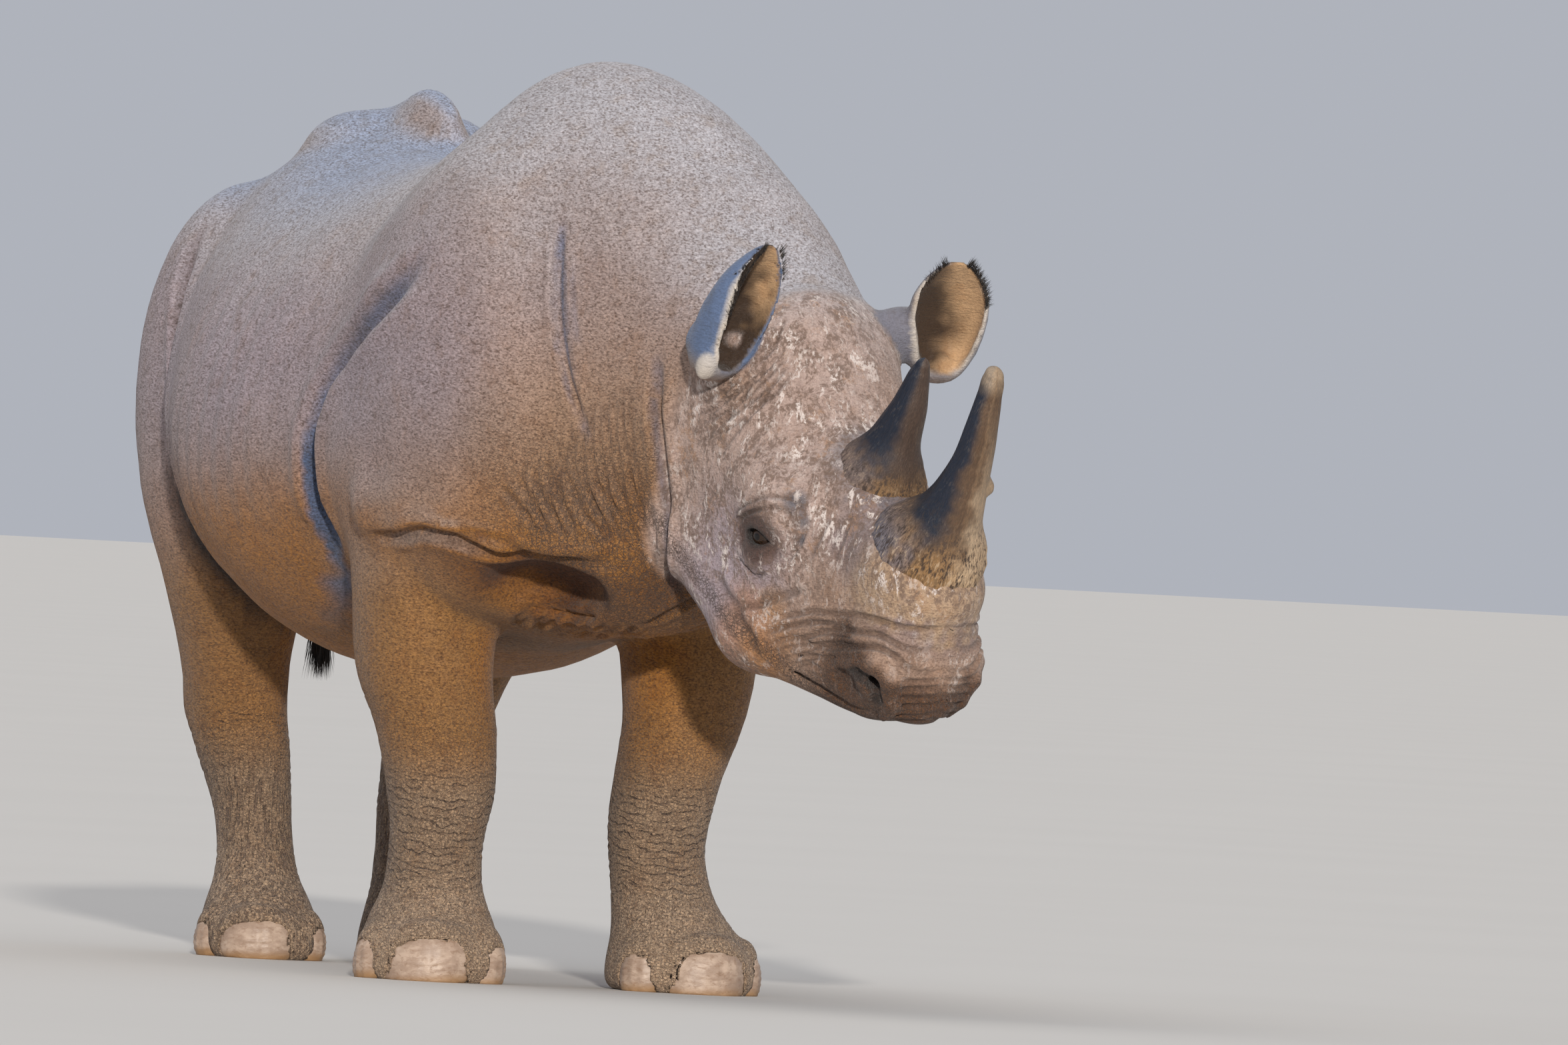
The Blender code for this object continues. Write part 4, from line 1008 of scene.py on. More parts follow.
# ---- materials
class Finish:
    """A material and the few kinds of nodes that it is made of."""

    def __init__(self, name):
        self.mat = bpy.data.materials.new(name)
        self.mat.use_nodes = True

    def fill(self, n, key, value):
        """Links a node's input to a socket, or sets it to a value."""
        if isinstance(value, bpy.types.NodeSocket):
            self.mat.node_tree.links.new(value, n.inputs[key])
        else:
            n.inputs[key].default_value = value

    def shaded(self, inputs):
        """The material, with those inputs of its shader linked or set."""
        shader = self.mat.node_tree.nodes["Principled BSDF"]
        for key, value in inputs.items():
            self.fill(shader, key, value)
        return self.mat

    def node(self, kind, inputs=(), **settings):
        n = self.mat.node_tree.nodes.new("ShaderNode" + kind)
        for key, value in settings.items():
            setattr(n, key, value)
        for key, value in dict(inputs).items():
            self.fill(n, key, value)
        return n

    def where(self):
        """The piece's own coordinates."""
        found = self.mat.node_tree.nodes.get("Texture Coordinate") or self.node("TexCoord")
        return found.outputs["Object"]

    def attribute(self, name):
        return self.node("Attribute", attribute_name=name)

    def blend(self, factor, a, b, how="MIX"):
        """Mix of two colours."""
        a, b = (c if isinstance(c, bpy.types.NodeSocket) else (*c, 1.0) for c in (a, b))
        return self.node("Mix", {0: factor, 6: a, 7: b}, data_type="RGBA", blend_type=how).outputs[2]

    def maths(self, how, a, b=0.0, c=0.0):
        return self.node("Math", {0: a, 1: b, 2: c}, operation=how).outputs[0]

    def times(self, *values):
        """Product of all the values."""
        first, *others = values
        return self.maths("MULTIPLY", first, self.times(*others)) if others else first

    def window(self, value, low, high, to_low=0.0, to_high=1.0):
        """Smooth step of a value between two limits."""
        return self.node("MapRange", {"Value": value, "From Min": low, "From Max": high, "To Min": to_low,
                                      "To Max": to_high}, interpolation_type="SMOOTHSTEP").outputs[0]

    def placed(self, where, scale=(1, 1, 1), turn=(0, 0, 0)):
        return self.node("Mapping", {"Vector": where, "Rotation": turn, "Scale": scale},
                         vector_type="POINT").outputs[0]

    def noise(self, place, detail, rough, warp):
        return self.node("TexNoise", {"Vector": place, "Scale": 1.0, "Detail": detail, "Roughness": rough,
                                      "Distortion": warp}).outputs["Fac"]

    def grain(self, size, stretch=(1, 1, 1), turn=(0, 0, 0), detail=2.0, rough=0.5, warp=0.0):
        """Noise of grains of about that size in metres, stretched along the turned axes."""
        place = self.placed(self.where(), [1 / (size * s) for s in stretch], turn)
        return self.noise(place, detail, rough, warp)

    def bump(self, height, distance, strength=1.0, below=None):
        inputs = {"Height": height, "Distance": distance, "Strength": strength}
        if below is not None:
            inputs["Normal"] = below
        return self.node("Bump", inputs).outputs[0]


def hide_material(look):
    """Dusty, pebbled hide: short dark dashes between pale grains, dried mud on the head, cracks, painted
    shade in the folds, wrinkle rings at the wrists and upright wrinkles on the hind legs."""
    m = Finish("hide")
    tone = m.attribute("tone").outputs["Color"]
    marks = m.attribute("marks")
    mud, fold, coarse = m.node("SeparateColor", {"Color": marks.outputs["Color"]}).outputs[:3]
    rings = marks.outputs["Alpha"]
    spread = m.attribute("level").outputs["Color"]
    level, upright, smooth = m.node("SeparateColor", {"Color": spread}).outputs[:3]
    grainy = m.maths("SUBTRACT", 1.0, smooth)
    size = look.grain_size

    # broad unevenness of dust and stain
    cloud = m.grain(.10, detail=5, rough=.6)
    colour = m.blend(m.window(cloud, .40, .70), tone, look.dust_tint, "MULTIPLY")
    blotch = m.grain(.040, (1, 1, 1.3), detail=5, rough=.65)
    colour = m.blend(m.window(blotch, .50, .70, 0, .60), colour, look.stain_tint, "MULTIPLY")

    # short dashes, lying along the body
    dash = m.grain(size, (.95, 1.9, .62), (.25, 0, 0), 2.5, .55)
    speck = m.grain(size * .62, detail=1.5)
    fine = m.grain(size * 2.4, (1, 1.3, .8), detail=3)
    dark = m.times(m.window(dash, .52, .38), m.window(speck, .36, .56, .55, 1), m.window(fine, .7, .4, .5, 1))
    amount = m.times(dark, grainy, m.window(mud, 0, 1, look.dash_strength, look.dash_strength * .45))
    colour = m.blend(amount, colour, look.dash_tint, "MULTIPLY")
    light = m.times(m.window(dash, .55, .68), grainy, m.window(mud, 0, 1, .80, .3))
    colour = m.blend(light, colour, look.pebble_tint, "MULTIPLY")
    clump = m.grain(size * 2.3, (.9, 1.7, .7), (.25, 0, 0), 3, .6)
    amount = m.times(m.window(clump, .50, .38), grainy, m.window(mud, 0, 1, .55, .25))
    colour = m.blend(amount, colour, look.clump_tint, "MULTIPLY")

    # dried mud: weathered brown and rusty patches, then pale streaks and crumbs
    crumb = m.grain(.0070, detail=3, rough=.6)
    patch = m.grain(.034, (1, 1, 1.5), (-.35, .2, 0), 6, .74, .6)
    patch = m.times(m.window(patch, .55, .45), m.window(crumb, .66, .44))
    colour = m.blend(m.times(patch, mud, .80), colour, look.bark)
    rust = m.times(m.window(m.grain(.055, detail=5, rough=.7), .54, .66), m.window(crumb, .40, .56))
    colour = m.blend(m.times(rust, mud, .60), colour, look.rust)
    streak = m.grain(.019, (1, 1, 2.4), (-.45, .15, 0), 6, .74, .5)
    drift = m.window(m.grain(.075, detail=3), .40, .58, .30, 1)
    pale = m.times(m.window(streak, .525, .60), m.window(crumb, .38, .52), drift)
    colour = m.blend(m.times(pale, mud, .90), colour, look.mud)

    # network of cracks, closer on the legs, wide between chest and neck
    def cracks(scale, edge):
        place = m.placed(m.where(), scale)
        warp = m.node("TexNoise", {"Vector": place, "Scale": 1.4, "Detail": 2.0}).outputs["Color"]
        warped = m.node("VectorMath", {0: place, 1: warp}, operation="ADD").outputs[0]
        cell = m.node("TexVoronoi", {"Vector": warped, "Scale": 1.0}, feature="DISTANCE_TO_EDGE")
        return m.window(cell.outputs["Distance"], edge, 0)

    crack = m.times(cracks((150, 110, 185), .12), m.window(coarse, 0, 1, .10, .70))
    wide = m.times(cracks((70, 70, 40), .085), m.window(coarse, .45, .95, 0, .95),
                   m.window(mud, .2, .6, 1, .25))
    crack = m.times(m.maths("MAXIMUM", crack, wide), grainy, m.window(mud, .05, .45, 1, 0))
    colour = m.blend(m.times(crack, .62), colour, look.crack)

    # rings of wrinkles at the wrists, upright ones below the hocks
    waver = m.maths("ADD", level, m.times(m.maths("SUBTRACT", m.grain(.030, detail=3), .5), .030))
    share = m.maths("FRACT", m.maths("DIVIDE", waver, look.ring_pitch))
    ring = m.window(m.maths("ABSOLUTE", m.maths("SUBTRACT", share, .5)), .36, .49)
    ring = m.times(ring, rings, m.window(m.grain(.030, (1.6, 1.6, .5), detail=3), .40, .56))
    cord = m.times(m.window(m.grain(.0055, (1, 1, 7), detail=2.5, warp=.5), .50, .40), upright)
    lines = m.maths("MAXIMUM", ring, m.times(cord, .75))
    colour = m.blend(m.times(lines, .70), colour, look.crack)

    # painted shade at the bottoms of the folds
    deep = m.times(fold, m.window(speck, .2, .6, 1, .86))
    colour = m.blend(deep, colour, look.fold)

    rough = m.window(m.grain(.012, detail=3), .3, .7, .62, .86)
    wrinkle = m.grain(.016, (2.2, 2.2, .42), (0, 0, 0), 3, .6, .8)
    normal = m.bump(wrinkle, .0045, .55)
    normal = m.bump(dash, .0024, .80, normal)
    normal = m.bump(m.maths("MULTIPLY", crack, -1), .0030, .9, normal)
    normal = m.bump(m.maths("MULTIPLY", lines, -1), .0050, .9, normal)
    rough_mud = m.times(m.maths("ADD", streak, m.times(crumb, .7)), mud)
    normal = m.bump(rough_mud, .0045, .9, normal)
    return m.shaded({"Base Color": colour, "Roughness": rough, "Specular IOR Level": .30,
                     "Sheen Weight": .10, "Sheen Roughness": .5, "Normal": normal})


HEAD_TURN = Matrix(AXES.tolist()).to_euler()


def horn_material(look):
    """Horn: fibres along its length, frayed and stained at the base, dark and smoother up the shaft."""
    m = Finish("horn_fibre")
    tone = m.attribute("tone").outputs["Color"]
    height = m.attribute("height").outputs["Fac"]
    local = m.placed(m.where(), turn=tuple(HEAD_TURN))
    fibre = m.noise(m.placed(local, (420, 420, 26)), 4.0, .62, .2)
    strand = m.noise(m.placed(local, (230, 230, 62)), 4.0, .62, .5)
    clump = m.noise(m.placed(local, (52, 52, 34)), 5.0, .62, .3)
    low = m.window(height, .50, .16)
    colour = m.blend(m.window(fibre, .40, .62), tone, look.horn_light, "MULTIPLY")
    dark = m.times(m.window(strand, .54, .42), m.window(clump, .62, .40), m.window(low, 0, 1, .15, .92))
    colour = m.blend(dark, colour, look.horn_dark)
    pale = m.times(m.window(strand, .50, .62), m.window(clump, .44, .62),
                   m.window(height, .30, .06, .06, .85))
    colour = m.blend(pale, colour, look.horn_pale)
    rough = m.window(height, .05, .6, .82, .50)
    normal = m.bump(strand, .0040, m.times(low, .9), m.bump(fibre, .0014, .7))
    return m.shaded({"Base Color": colour, "Roughness": rough, "Specular IOR Level": .35, "Normal": normal})


def nail_material(look):
    """Worn nail: pinkish-grey, streaked along its growth, ochre at its lower edge."""
    m = Finish("nail_plate")
    edge = m.attribute("height").outputs["Fac"]
    streak = m.grain(.0075, (1.6, 1.6, .8), (0, .3, 0), 4, .6, .5)
    blotch = m.grain(.030, (1.4, 1.4, .8), detail=5, rough=.65)
    scratch = m.grain(.0024, (3, 3, .7), (0, .5, 0), 2)
    colour = m.blend(m.window(blotch, .40, .62), look.nail, look.pale)
    colour = m.blend(m.window(streak, .50, .68, 0, .60), colour, look.stain)
    colour = m.blend(m.window(scratch, .60, .70, 0, .35), colour, look.pale)
    colour = m.blend(m.window(edge, .40, .20, 0, .75), colour, look.edge)
    rim = m.times(m.window(edge, .90, .97), m.window(streak, .35, .5, .4, 1))
    colour = m.blend(rim, colour, look.cuticle)
    normal = m.bump(scratch, .0005, .5, m.bump(streak, .0014, .5))
    return m.shaded({"Base Color": colour, "Roughness": .50, "Normal": normal})


def eye_material(look):
    """Dark wet eye: black pupil, brown iris with radial fibres, nearly black rim."""
    m = Finish("eyeball")
    angle = m.attribute("angle").outputs["Fac"]
    spoke = m.attribute("spoke").outputs["Fac"]
    colour = m.blend(m.window(spoke, .2, .8), look.iris_dark, look.iris_light)
    colour = m.blend(m.window(angle, .20, .26, 1, 0), colour, look.pupil)
    colour = m.blend(m.window(angle, .50, .62), colour, look.eye_rim)
    return m.shaded({"Base Color": colour, "Roughness": .14, "Specular IOR Level": .25,
                     "Coat Weight": .30, "Coat Roughness": .04})


def hair_material(look):
    """Coarse black hair, lighter at some roots and tips."""
    m = Finish("coarse_hair")
    shade = m.grain(.004, (1, 1, 5), detail=2)
    colour = m.blend(m.window(shade, .40, .68), look.hair_dark, look.hair_light)
    return m.shaded({"Base Color": colour, "Roughness": .45, "Normal": m.bump(shade, .0004, .5)})


def floor_material(look):
    """Pale, dull floor with a faint unevenness."""
    m = Finish("pale_floor")
    shade = m.grain(1.6, detail=3)
    colour = m.blend(m.window(shade, .3, .7), look.floor_colour, [c * .985 for c in look.floor_colour])
    return m.shaded({"Base Color": colour, "Roughness": .9, "Specular IOR Level": .1})


# ---- colour of the hide
class Coat:
    """Colours at points, laid one over another."""

    def __init__(self, look, first, count):
        self.look = look
        self.tone = np.repeat(np.array([tuple(getattr(look, first))]), count, 0)

    def lay(self, name, weight):
        """Covers the colours so far with another, as far as the weight says."""
        colour = np.array(getattr(self.look, name))
        self.tone = self.tone + np.clip(weight, 0, 1)[:, None] * (colour - self.tone)


class HidePoints:
    """Points and normals of the hide, also in the head's axes, and what many colours ask of them."""

    def __init__(self, p, n):
        self.p, self.n, self.h = p, n, to_head(p)
        self.skull = skull_form(self.h)
        self.head = ramp(self.skull, .045, .012) * ramp(self.h[:, 0], -.02, .05)
        self.eye_far = far_from(self.h, *LID_CENTRE)
        self.drift = clouds(p, .22, 21) * .5 + clouds(p, .09, 22) * .3
        self.on_leg = on_legs(p)


# Warm spots and spots of painted shade over the eyes, alike on both sides: u, s, v, radius, strength of the
# warm ones
WARM_SPOTS = ((.405, .135, -.120, .045, .8), (.60, .10, -.165, .080, .55), (.50, .10, -.175, .075, .65),
              (.12, .17, .12, .060, .45), (.40, .13, -.20, .05, .5))
SHADE_SPOTS = ((.352, .135, .058, .030), (.376, .125, .036, .024), (.392, .125, .010, .018))
LID_CENTRE = (EYE_U, .15, EYE_V)
# Seats of the horns: centre u, half length, half width
HORN_SEATS = {"front": (.556, .128, .112), "rear": (.372, .098, .090)}


def far_from(h, u, s, v):
    """Distance of head points from a place and its mirror image."""
    return np.sqrt((h[:, 0] - u) ** 2 + (np.abs(h[:, 1]) - s) ** 2 + (h[:, 2] - v) ** 2)


def seat_share(h, which):
    """0 in the middle of a horn's seat, 1 at its edge."""
    u, length, width = HORN_SEATS[which]
    return np.hypot((h[:, 0] - u) / length, h[:, 1] / width)


def on_legs(p):
    """1 on the legs, fading into the trunk."""
    found = np.zeros(len(p))
    for table in LEG_TABLES.values():
        x, y, half, back, front = at(table, p[:, 2])
        reach = np.maximum(back, half)
        near = ramp(np.hypot(p[:, 0] - x, p[:, 1] - y), reach * 1.9, reach * 1.2)
        found = np.maximum(found, near * ramp(p[:, 2], .92, .62))
    return found


def leg_level(p):
    """Height along the legs' wrinkles, which sag in front, and where rings and upright wrinkles are."""
    z = p[:, 2]
    level, rings, upright = z.copy(), np.zeros(len(p)), np.zeros(len(p))
    for name, table in LEG_TABLES.items():
        x, y, half, back, front = at(table, z)
        away = np.hypot(p[:, 0] - x, p[:, 1] - y) + 1e-6
        mine = ramp(away, half * 2.0, half * 1.5) * ramp(z, .60, .50)
        ahead = (y - p[:, 1]) / away
        if "front" in name:
            level += mine * .026 * ahead
            rings = np.maximum(rings, mine * ramp(z, .13, .19) * ramp(z, .40, .31))
            upright = np.maximum(upright, mine * .4 * ramp(z, .06, .10) * ramp(z, .22, .15))
        else:
            level -= mine * .014 * ahead
            rings = np.maximum(rings, .45 * mine * ramp(z, .32, .36) * ramp(z, .46, .42))
            upright = np.maximum(upright, mine * ramp(z, .40, .28))
    return level, rings, upright


def paint_body(coat, hide):
    """Dusty lilac above, with painted bluish sky light on the croup; warm and ochre below, the ochre partly
    painted warm shade underneath and in the armpits.
    """
    (x, y, z), n, drift = hide.p.T, hide.n, hide.drift
    coat.lay("lilac", .75 * ramp(np.abs(x), .22, .42) * ramp(z, .70, 1.05) + .25 * drift)
    coat.lay("warm", ramp(z + .10 * drift, 1.06, .66) * .80 * ramp(y, 1.0, .1)
             + ramp(y, -.30, -.50) * ramp(z, 1.22, .98) * .85)
    coat.lay("dust", ramp(n[:, 2] + .18 * drift, .18, .86) * ramp(z, .98, 1.26))
    # painted light: bluish sky light on the croup's upward faces
    coat.lay("sky", ramp(n[:, 2], .45, .95) * ramp(y, .25, .75) * ramp(z, 1.2, 1.4) * .7)
    # painted warm shade: ochre on faces turned down, under the body
    under = ramp(-n[:, 2] + .15 * drift, -.10, .60) * ramp(z, .98, .78)
    coat.lay("ochre", under * (1 - hide.on_leg * .5))
    coat.lay("ochre", ramp(y, -.26, -.50) * ramp(z + .05 * drift, 1.00, .78) * .42)
    coat.lay("stain", ramp(y, -.22, -.46) * ramp(z + .05 * drift, 1.10, .90) * .30)
    # painted warm shade: ochre in the armpits
    armpit = ramp(np.abs(y + .22), .30, .14) * ramp(np.abs(z - .70), .15, .06) * ramp(np.abs(x), .30, .20)
    coat.lay("ochre", armpit * .9)


def paint_legs(coat, hide):
    """Warm above, greyer tan below, and ochre painted warm shade on the inner sides and the faces turned
    back.
    """
    (x, _, z), n, drift, on_leg = hide.p.T, hide.n, hide.drift, hide.on_leg
    coat.lay("leg", on_leg * ramp(z, .80, .62) * .85)
    coat.lay("shin", on_leg * ramp(z, .44, .30))
    coat.lay("ochre", on_leg * ramp(z + .05 * drift, .30, .42) * ramp(z, .74, .60) * .38)
    coat.lay("stain", on_leg * ramp(z + .05 * drift, .13, .20) * ramp(z, .74, .60) * .42)
    # painted warm shade: ochre on the legs' inner sides, between them
    inner = ramp(-n[:, 0] * np.sign(x), .1, .8) * on_leg
    coat.lay("ochre", inner * ramp(z, .38, .60) * .85)
    # painted warm shade: ochre on the legs' faces turned back, away from the key light
    coat.lay("ochre", ramp(n[:, 1], -.2, .7) * on_leg * ramp(z, .40, .58) * .35)


def paint_head(coat, hide):
    """Face and muzzle, painted shade on chin and lower lip, under the jaw and above the eyes, and the skin
    round eyes and horns; gives back muzzle and chin.
    """
    h, head, drift = hide.h, hide.head, hide.drift
    u, s, v = h.T
    coat.lay("head", head)
    coat.lay("dust", head * ramp(hide.n[:, 2], .2, .9) * .35)
    coat.lay("lilac", head * ramp(u, .12, .26) * ramp(v, .04, -.10) * ramp(u, .44, .36) * .8)
    for *place, r, amount in WARM_SPOTS:
        coat.lay("warm", ramp(far_from(h, *place) + .01 * drift, r, r * .3) * amount * head)
    # painted warm shade: ochre under the jaw
    coat.lay("ochre", head * ramp(v, -.165, -.205) * ramp(u, .36, .48) * .8)
    muzzle = ramp(u + .03 * drift, .40, .50) * ramp(v + .03 * drift, .11, .03)
    coat.lay("muzzle", muzzle * head * .90)
    # painted shade under the muzzle: dark chin and lower lip
    chin_shade = ramp(v + .10 * (u - .60) + .012 * clouds(h, .03, 35), -.008, -.045) * ramp(u, .50, .58)
    bridge = ramp(u + .03 * drift, .38, .45) * ramp(v + .03 * drift, -.01, .06)
    coat.lay("bridge", bridge * head * .82)
    # painted shade on chin and lower lip
    coat.lay("chin_shade", chin_shade * head * .92)
    coat.lay("ochre", ramp(v, -.095, -.15) * ramp(u, .30, .36) * ramp(u, .52, .44) * head * .55)
    # painted warm shade: ochre on the throat behind the jaw
    coat.lay("ochre", ramp(u, .10, .0) * ramp(hide.skull, .10, .05) * ramp(v, -.12, -.22) * .7)
    coat.lay("lid", ramp(hide.eye_far + .010 * drift, .068, .038) * .94 * head)
    # painted bluish shade in spots above and before each eye
    for *place, r in SHADE_SPOTS:
        coat.lay("charcoal", ramp(far_from(h, *place) + .008 * drift, r, r * .3) * .80 * head)
    fray = ramp(seat_share(h, "front") + .09 * clouds(h, .012, 33), 1.14, .98)
    fray = fray * ramp(v, -.02, .03) * ramp(u + .3 * np.abs(s), .52, .60)
    coat.lay("fray", fray * .8 * head)
    fray = ramp(seat_share(h, "rear") + .10 * clouds(h, .012, 34), 1.12, .95) * ramp(v, .05, .09)
    coat.lay("charcoal", fray * .45 * head)
    return muzzle, chin_shade


def paint_openings(coat, hide):
    """Wet rims and shaded depths of lids, nostrils and mouth; gives back how dark it is there."""
    h = hide.h
    dark, rim = np.zeros(len(h)), np.zeros(len(h))
    for side in (-1, 1):
        centre, along, up, gaze = eye_frame(side)
        q = h - centre
        ball, in_front = np.sqrt((q**2).sum(1)), q @ gaze > 0
        opening = slit_gap(q @ along, q @ up)
        rim = np.maximum(rim, ramp(opening, .0115, .0020) * ramp(ball, .045, .036) * in_front)
        dark = np.maximum(dark, ramp(opening, .0035, -.0005) * ramp(ball, .038, .031) * in_front)
        m = h * (1, side, 1)
        hole = np.minimum(rods(m, NOSTRIL_HOLE, .006), rods(m, NOSTRIL_DEEP, .006))
        dark = np.maximum(dark, ramp(hole, .0035, -.0005) * ramp(hide.skull, .012, -.004) * .97)
        rim = np.maximum(rim, ramp(oval(m, *NOSTRIL_DISH), .006, -.002) * .55)
        mouth = rods(m, [(place, .0045) for place in MOUTH], .004)
        dark = np.maximum(dark, ramp(mouth, .0022, -.001) * .85)
    coat.lay("lid_rim", rim * .8)
    # painted shade: near black in the lids' slit, the nostrils and the mouth's line
    coat.lay("black", dark)
    return dark


def paint_ears(coat, hide):
    """Cream rims, hollows from ochre painted light to near-black painted shade, backs in painted bluish
    shade; gives back where the ears are and how smooth.
    """
    h = hide.h
    ears, smooth = np.zeros(len(h)), np.zeros(len(h))
    for side in EAR_ENDS:
        right = side == "right"
        t, ex, ey, _ = ear_place(h, side)
        wide, deep, slit = at(EAR_TABLE, t)
        deep, slit = deep * EAR_DEPTH[side], np.radians(slit)
        mine = ramp(ear_form(h, side), .010, .004) * ramp(t, -.04, .10)
        outer = section(ex, ey, wide, deep, deep, 2.0)
        inside = ramp(outer, -.0040, -.0075) * ramp(t, .04, .12)
        across = ex / np.maximum(wide, .01)            # -1 to 1, towards the head's right side
        lip = ramp(np.abs(np.abs(ex) - np.sin(slit) * wide), .012, .006) * (ey > 0) * ramp(t, .06, .20)
        lip = lip * ramp(np.abs(ey - deep * np.cos(slit)), .018, .010)
        lip = lip * (ramp(across, -.1, .3) if right else .80)
        lobe = ramp(oval(h, EAR_LOBE[side], EAR_LOBE_SIZE[side]), .006, .001) * ramp(outer, -.004, .0)
        back = 1 - ramp(outer, -.003, -.006)
        coat.lay("ear_back", mine)
        # painted bluish shade on the backs of the ears
        slate_shade = mine * back * ramp(ey, .075, .035) * ramp(t, .05, .2)
        coat.lay("slate_shade", slate_shade * (.85 if right else .3))
        if right:
            glow = .03 + .97 * ramp(-across + 1.5 * (t - .62) + .30 * clouds(h, .018, 30), .38, 1.10)
        else:
            glow = .05 + .95 * ramp(-across * .9 + 1.4 * np.abs(t - .40) + .22 * clouds(h, .02, 31), .0, .75)
        # painted shade in the cup's hollow, then painted light on its lit inner face
        coat.lay("ear_hollow_shade", mine * inside)
        coat.lay("ear_glow", mine * inside * glow)
        coat.lay("cream", np.maximum(mine * lip * (1 - inside * .5), lobe * (.8 if right else .25)))
        ears = np.maximum(ears, mine)
        smooth = np.maximum(smooth, np.maximum(mine * .75, lobe))
    return ears, smooth


def paint_creases(coat, hide, slate_shade):
    """Painted shade: bluish in deep folds and behind shoulder and foreleg, brown armpits, black before the
    thighs.
    """
    p, drift = hide.p, hide.drift
    x, y, z = p.T
    # painted bluish shade in the deep folds
    coat.lay("slate_shade", slate_shade * ramp(z + .04 * drift, .58, .70))
    bend = at(TRUNK_TABLE, y)[0]
    aside = np.stack([np.where(x > bend, 2 * bend - x, x), y, z], -1)   # both sides laid over the right one
    blur = .030 * drift + .016 * clouds(p, .03, 24)
    # painted brown shade in the armpits
    brown_shade = .55 * ramp(rods(aside, PIT_SHADE, .03) + blur, .060, -.010) \
        + .45 * ramp(rods(aside, PIT_DEEP, .03) + blur, .045, .005)
    coat.lay("brown_shade", np.clip(brown_shade, 0, 1) * .95)
    # painted bluish shadow cast on the barrel behind shoulder and foreleg, darker in its middle
    shadow_band = rods(aside, SHADOW_BAND, .01) + .006 * clouds(p, .05, 25)
    high, off_leg = ramp(z, 1.12, 1.0), ramp(hide.on_leg, .9, .6)
    coat.lay("slate_shade", ramp(shadow_band, .006, -.004) * high * ramp(z, .58, .70) * off_leg * .92)
    coat.lay("black", ramp(shadow_band, .004, -.008) * high * off_leg * .35)
    # painted brown to black shade in the crease in front of the thighs
    crease = flank_crease(p)
    coat.lay("brown_shade", crease * .94)
    coat.lay("black", ramp(crease, .75, 1.0) * .85)


def paint_hide(look, p, n, folds):
    """The hide at points: its colour, with painted shade and light; marks for mud, painted shade in the
    folds, coarse cracks and leg rings; and height along the legs' wrinkles, upright wrinkles and smoothness."""
    _, slate_shade, shade = fold_effects(p, folds)
    level, rings, upright = leg_level(p)
    coat, hide = Coat(look, "hide", len(p)), HidePoints(p, n)
    paint_body(coat, hide)
    paint_legs(coat, hide)
    muzzle, chin_shade = paint_head(coat, hide)
    dark = paint_openings(coat, hide)
    ears, smooth = paint_ears(coat, hide)
    paint_creases(coat, hide, slate_shade)
    mud = hide.head * (1 - ears) * ramp(hide.eye_far, .030, .060)
    mud = mud * ramp(np.abs(hide.h[:, 2] + .20), .0, .05) * (1 - .45 * muzzle) * (1 - .7 * chin_shade)
    coarse = .20 + .5 * hide.on_leg * ramp(p[:, 2], .55, .3) \
        + .75 * ramp(p[:, 1], -.30, -.46) * ramp(p[:, 2], 1.0, .8) + .3 * hide.head
    # the second mark is the folds' painted shade, kept out of the openings
    marks = np.stack([mud, shade * (1 - dark), np.clip(coarse, 0, 1), rings], -1)
    smooth = np.maximum(smooth, hide.head * ramp(hide.eye_far, .050, .030) * .6)
    return np.clip(coat.tone, 0, 1), marks, np.stack([level, upright, smooth], -1)


# ---- the hide
def outward(points, faces):
    """Unit normals of a mesh's points: the mean of the faces round each, weighted by their area."""
    d = np.cross(points[faces[:, 2]] - points[faces[:, 0]], points[faces[:, -1]] - points[faces[:, 1]])
    total = np.stack([np.bincount(faces.ravel(), np.repeat(d[:, k], faces.shape[1]), len(points))
                      for k in range(3)], -1)
    return total / np.maximum(np.linalg.norm(total, axis=1, keepdims=True), 1e-12)


def thinned(obj, weight, triangles):
    """Collapses short, flat edges until that many triangles are left; weight 0 spares a place, 1 doesn't."""
    group = obj.vertex_groups.new(name="thin")
    level = np.round(weight * 10).astype(int)
    for k in range(1, 11):
        group.add(np.flatnonzero(level == k).tolist(), k / 10, "REPLACE")
    thin = obj.modifiers.new("thin", "DECIMATE")
    thin.ratio = triangles / (2 * len(obj.data.polygons))
    thin.vertex_group = group.name
    thin.vertex_group_factor = .004
    done = bpy.data.meshes.new_from_object(obj.evaluated_get(bpy.context.evaluated_depsgraph_get()))
    old = obj.data
    obj.modifiers.clear()
    obj.vertex_groups.clear()
    obj.data = done
    bpy.data.meshes.remove(old)


def refined(obj, wanted):
    """Splits every edge whose ends are both wanted."""
    mesh = bmesh.new()
    mesh.from_mesh(obj.data)
    mesh.verts.ensure_lookup_table()
    pick = wanted(places(obj))
    edges = [e for e in mesh.edges if pick[e.verts[0].index] and pick[e.verts[1].index]]
    bmesh.ops.subdivide_edges(mesh, edges=edges, cuts=1, use_grid_fill=True)
    bmesh.ops.triangulate(mesh, faces=mesh.faces[:])
    mesh.to_mesh(obj.data)
    mesh.free()


def near_eyes(p, reach):
    """Within that reach of the lids."""
    return far_from(to_head(p), *LID_CENTRE) < reach


def near_muzzle(p):
    """Where the folds of the muzzle need a finer net."""
    u, _, v = to_head(p).T
    return (u > .42) & (v < .075) & (v > -.20)


def near_lips(p):
    """Where the lips and nostrils need a finer net."""
    h = to_head(p)
    return (h[:, 0] > .55) & (h[:, 2] < .01) & (skull_form(h) < .03)


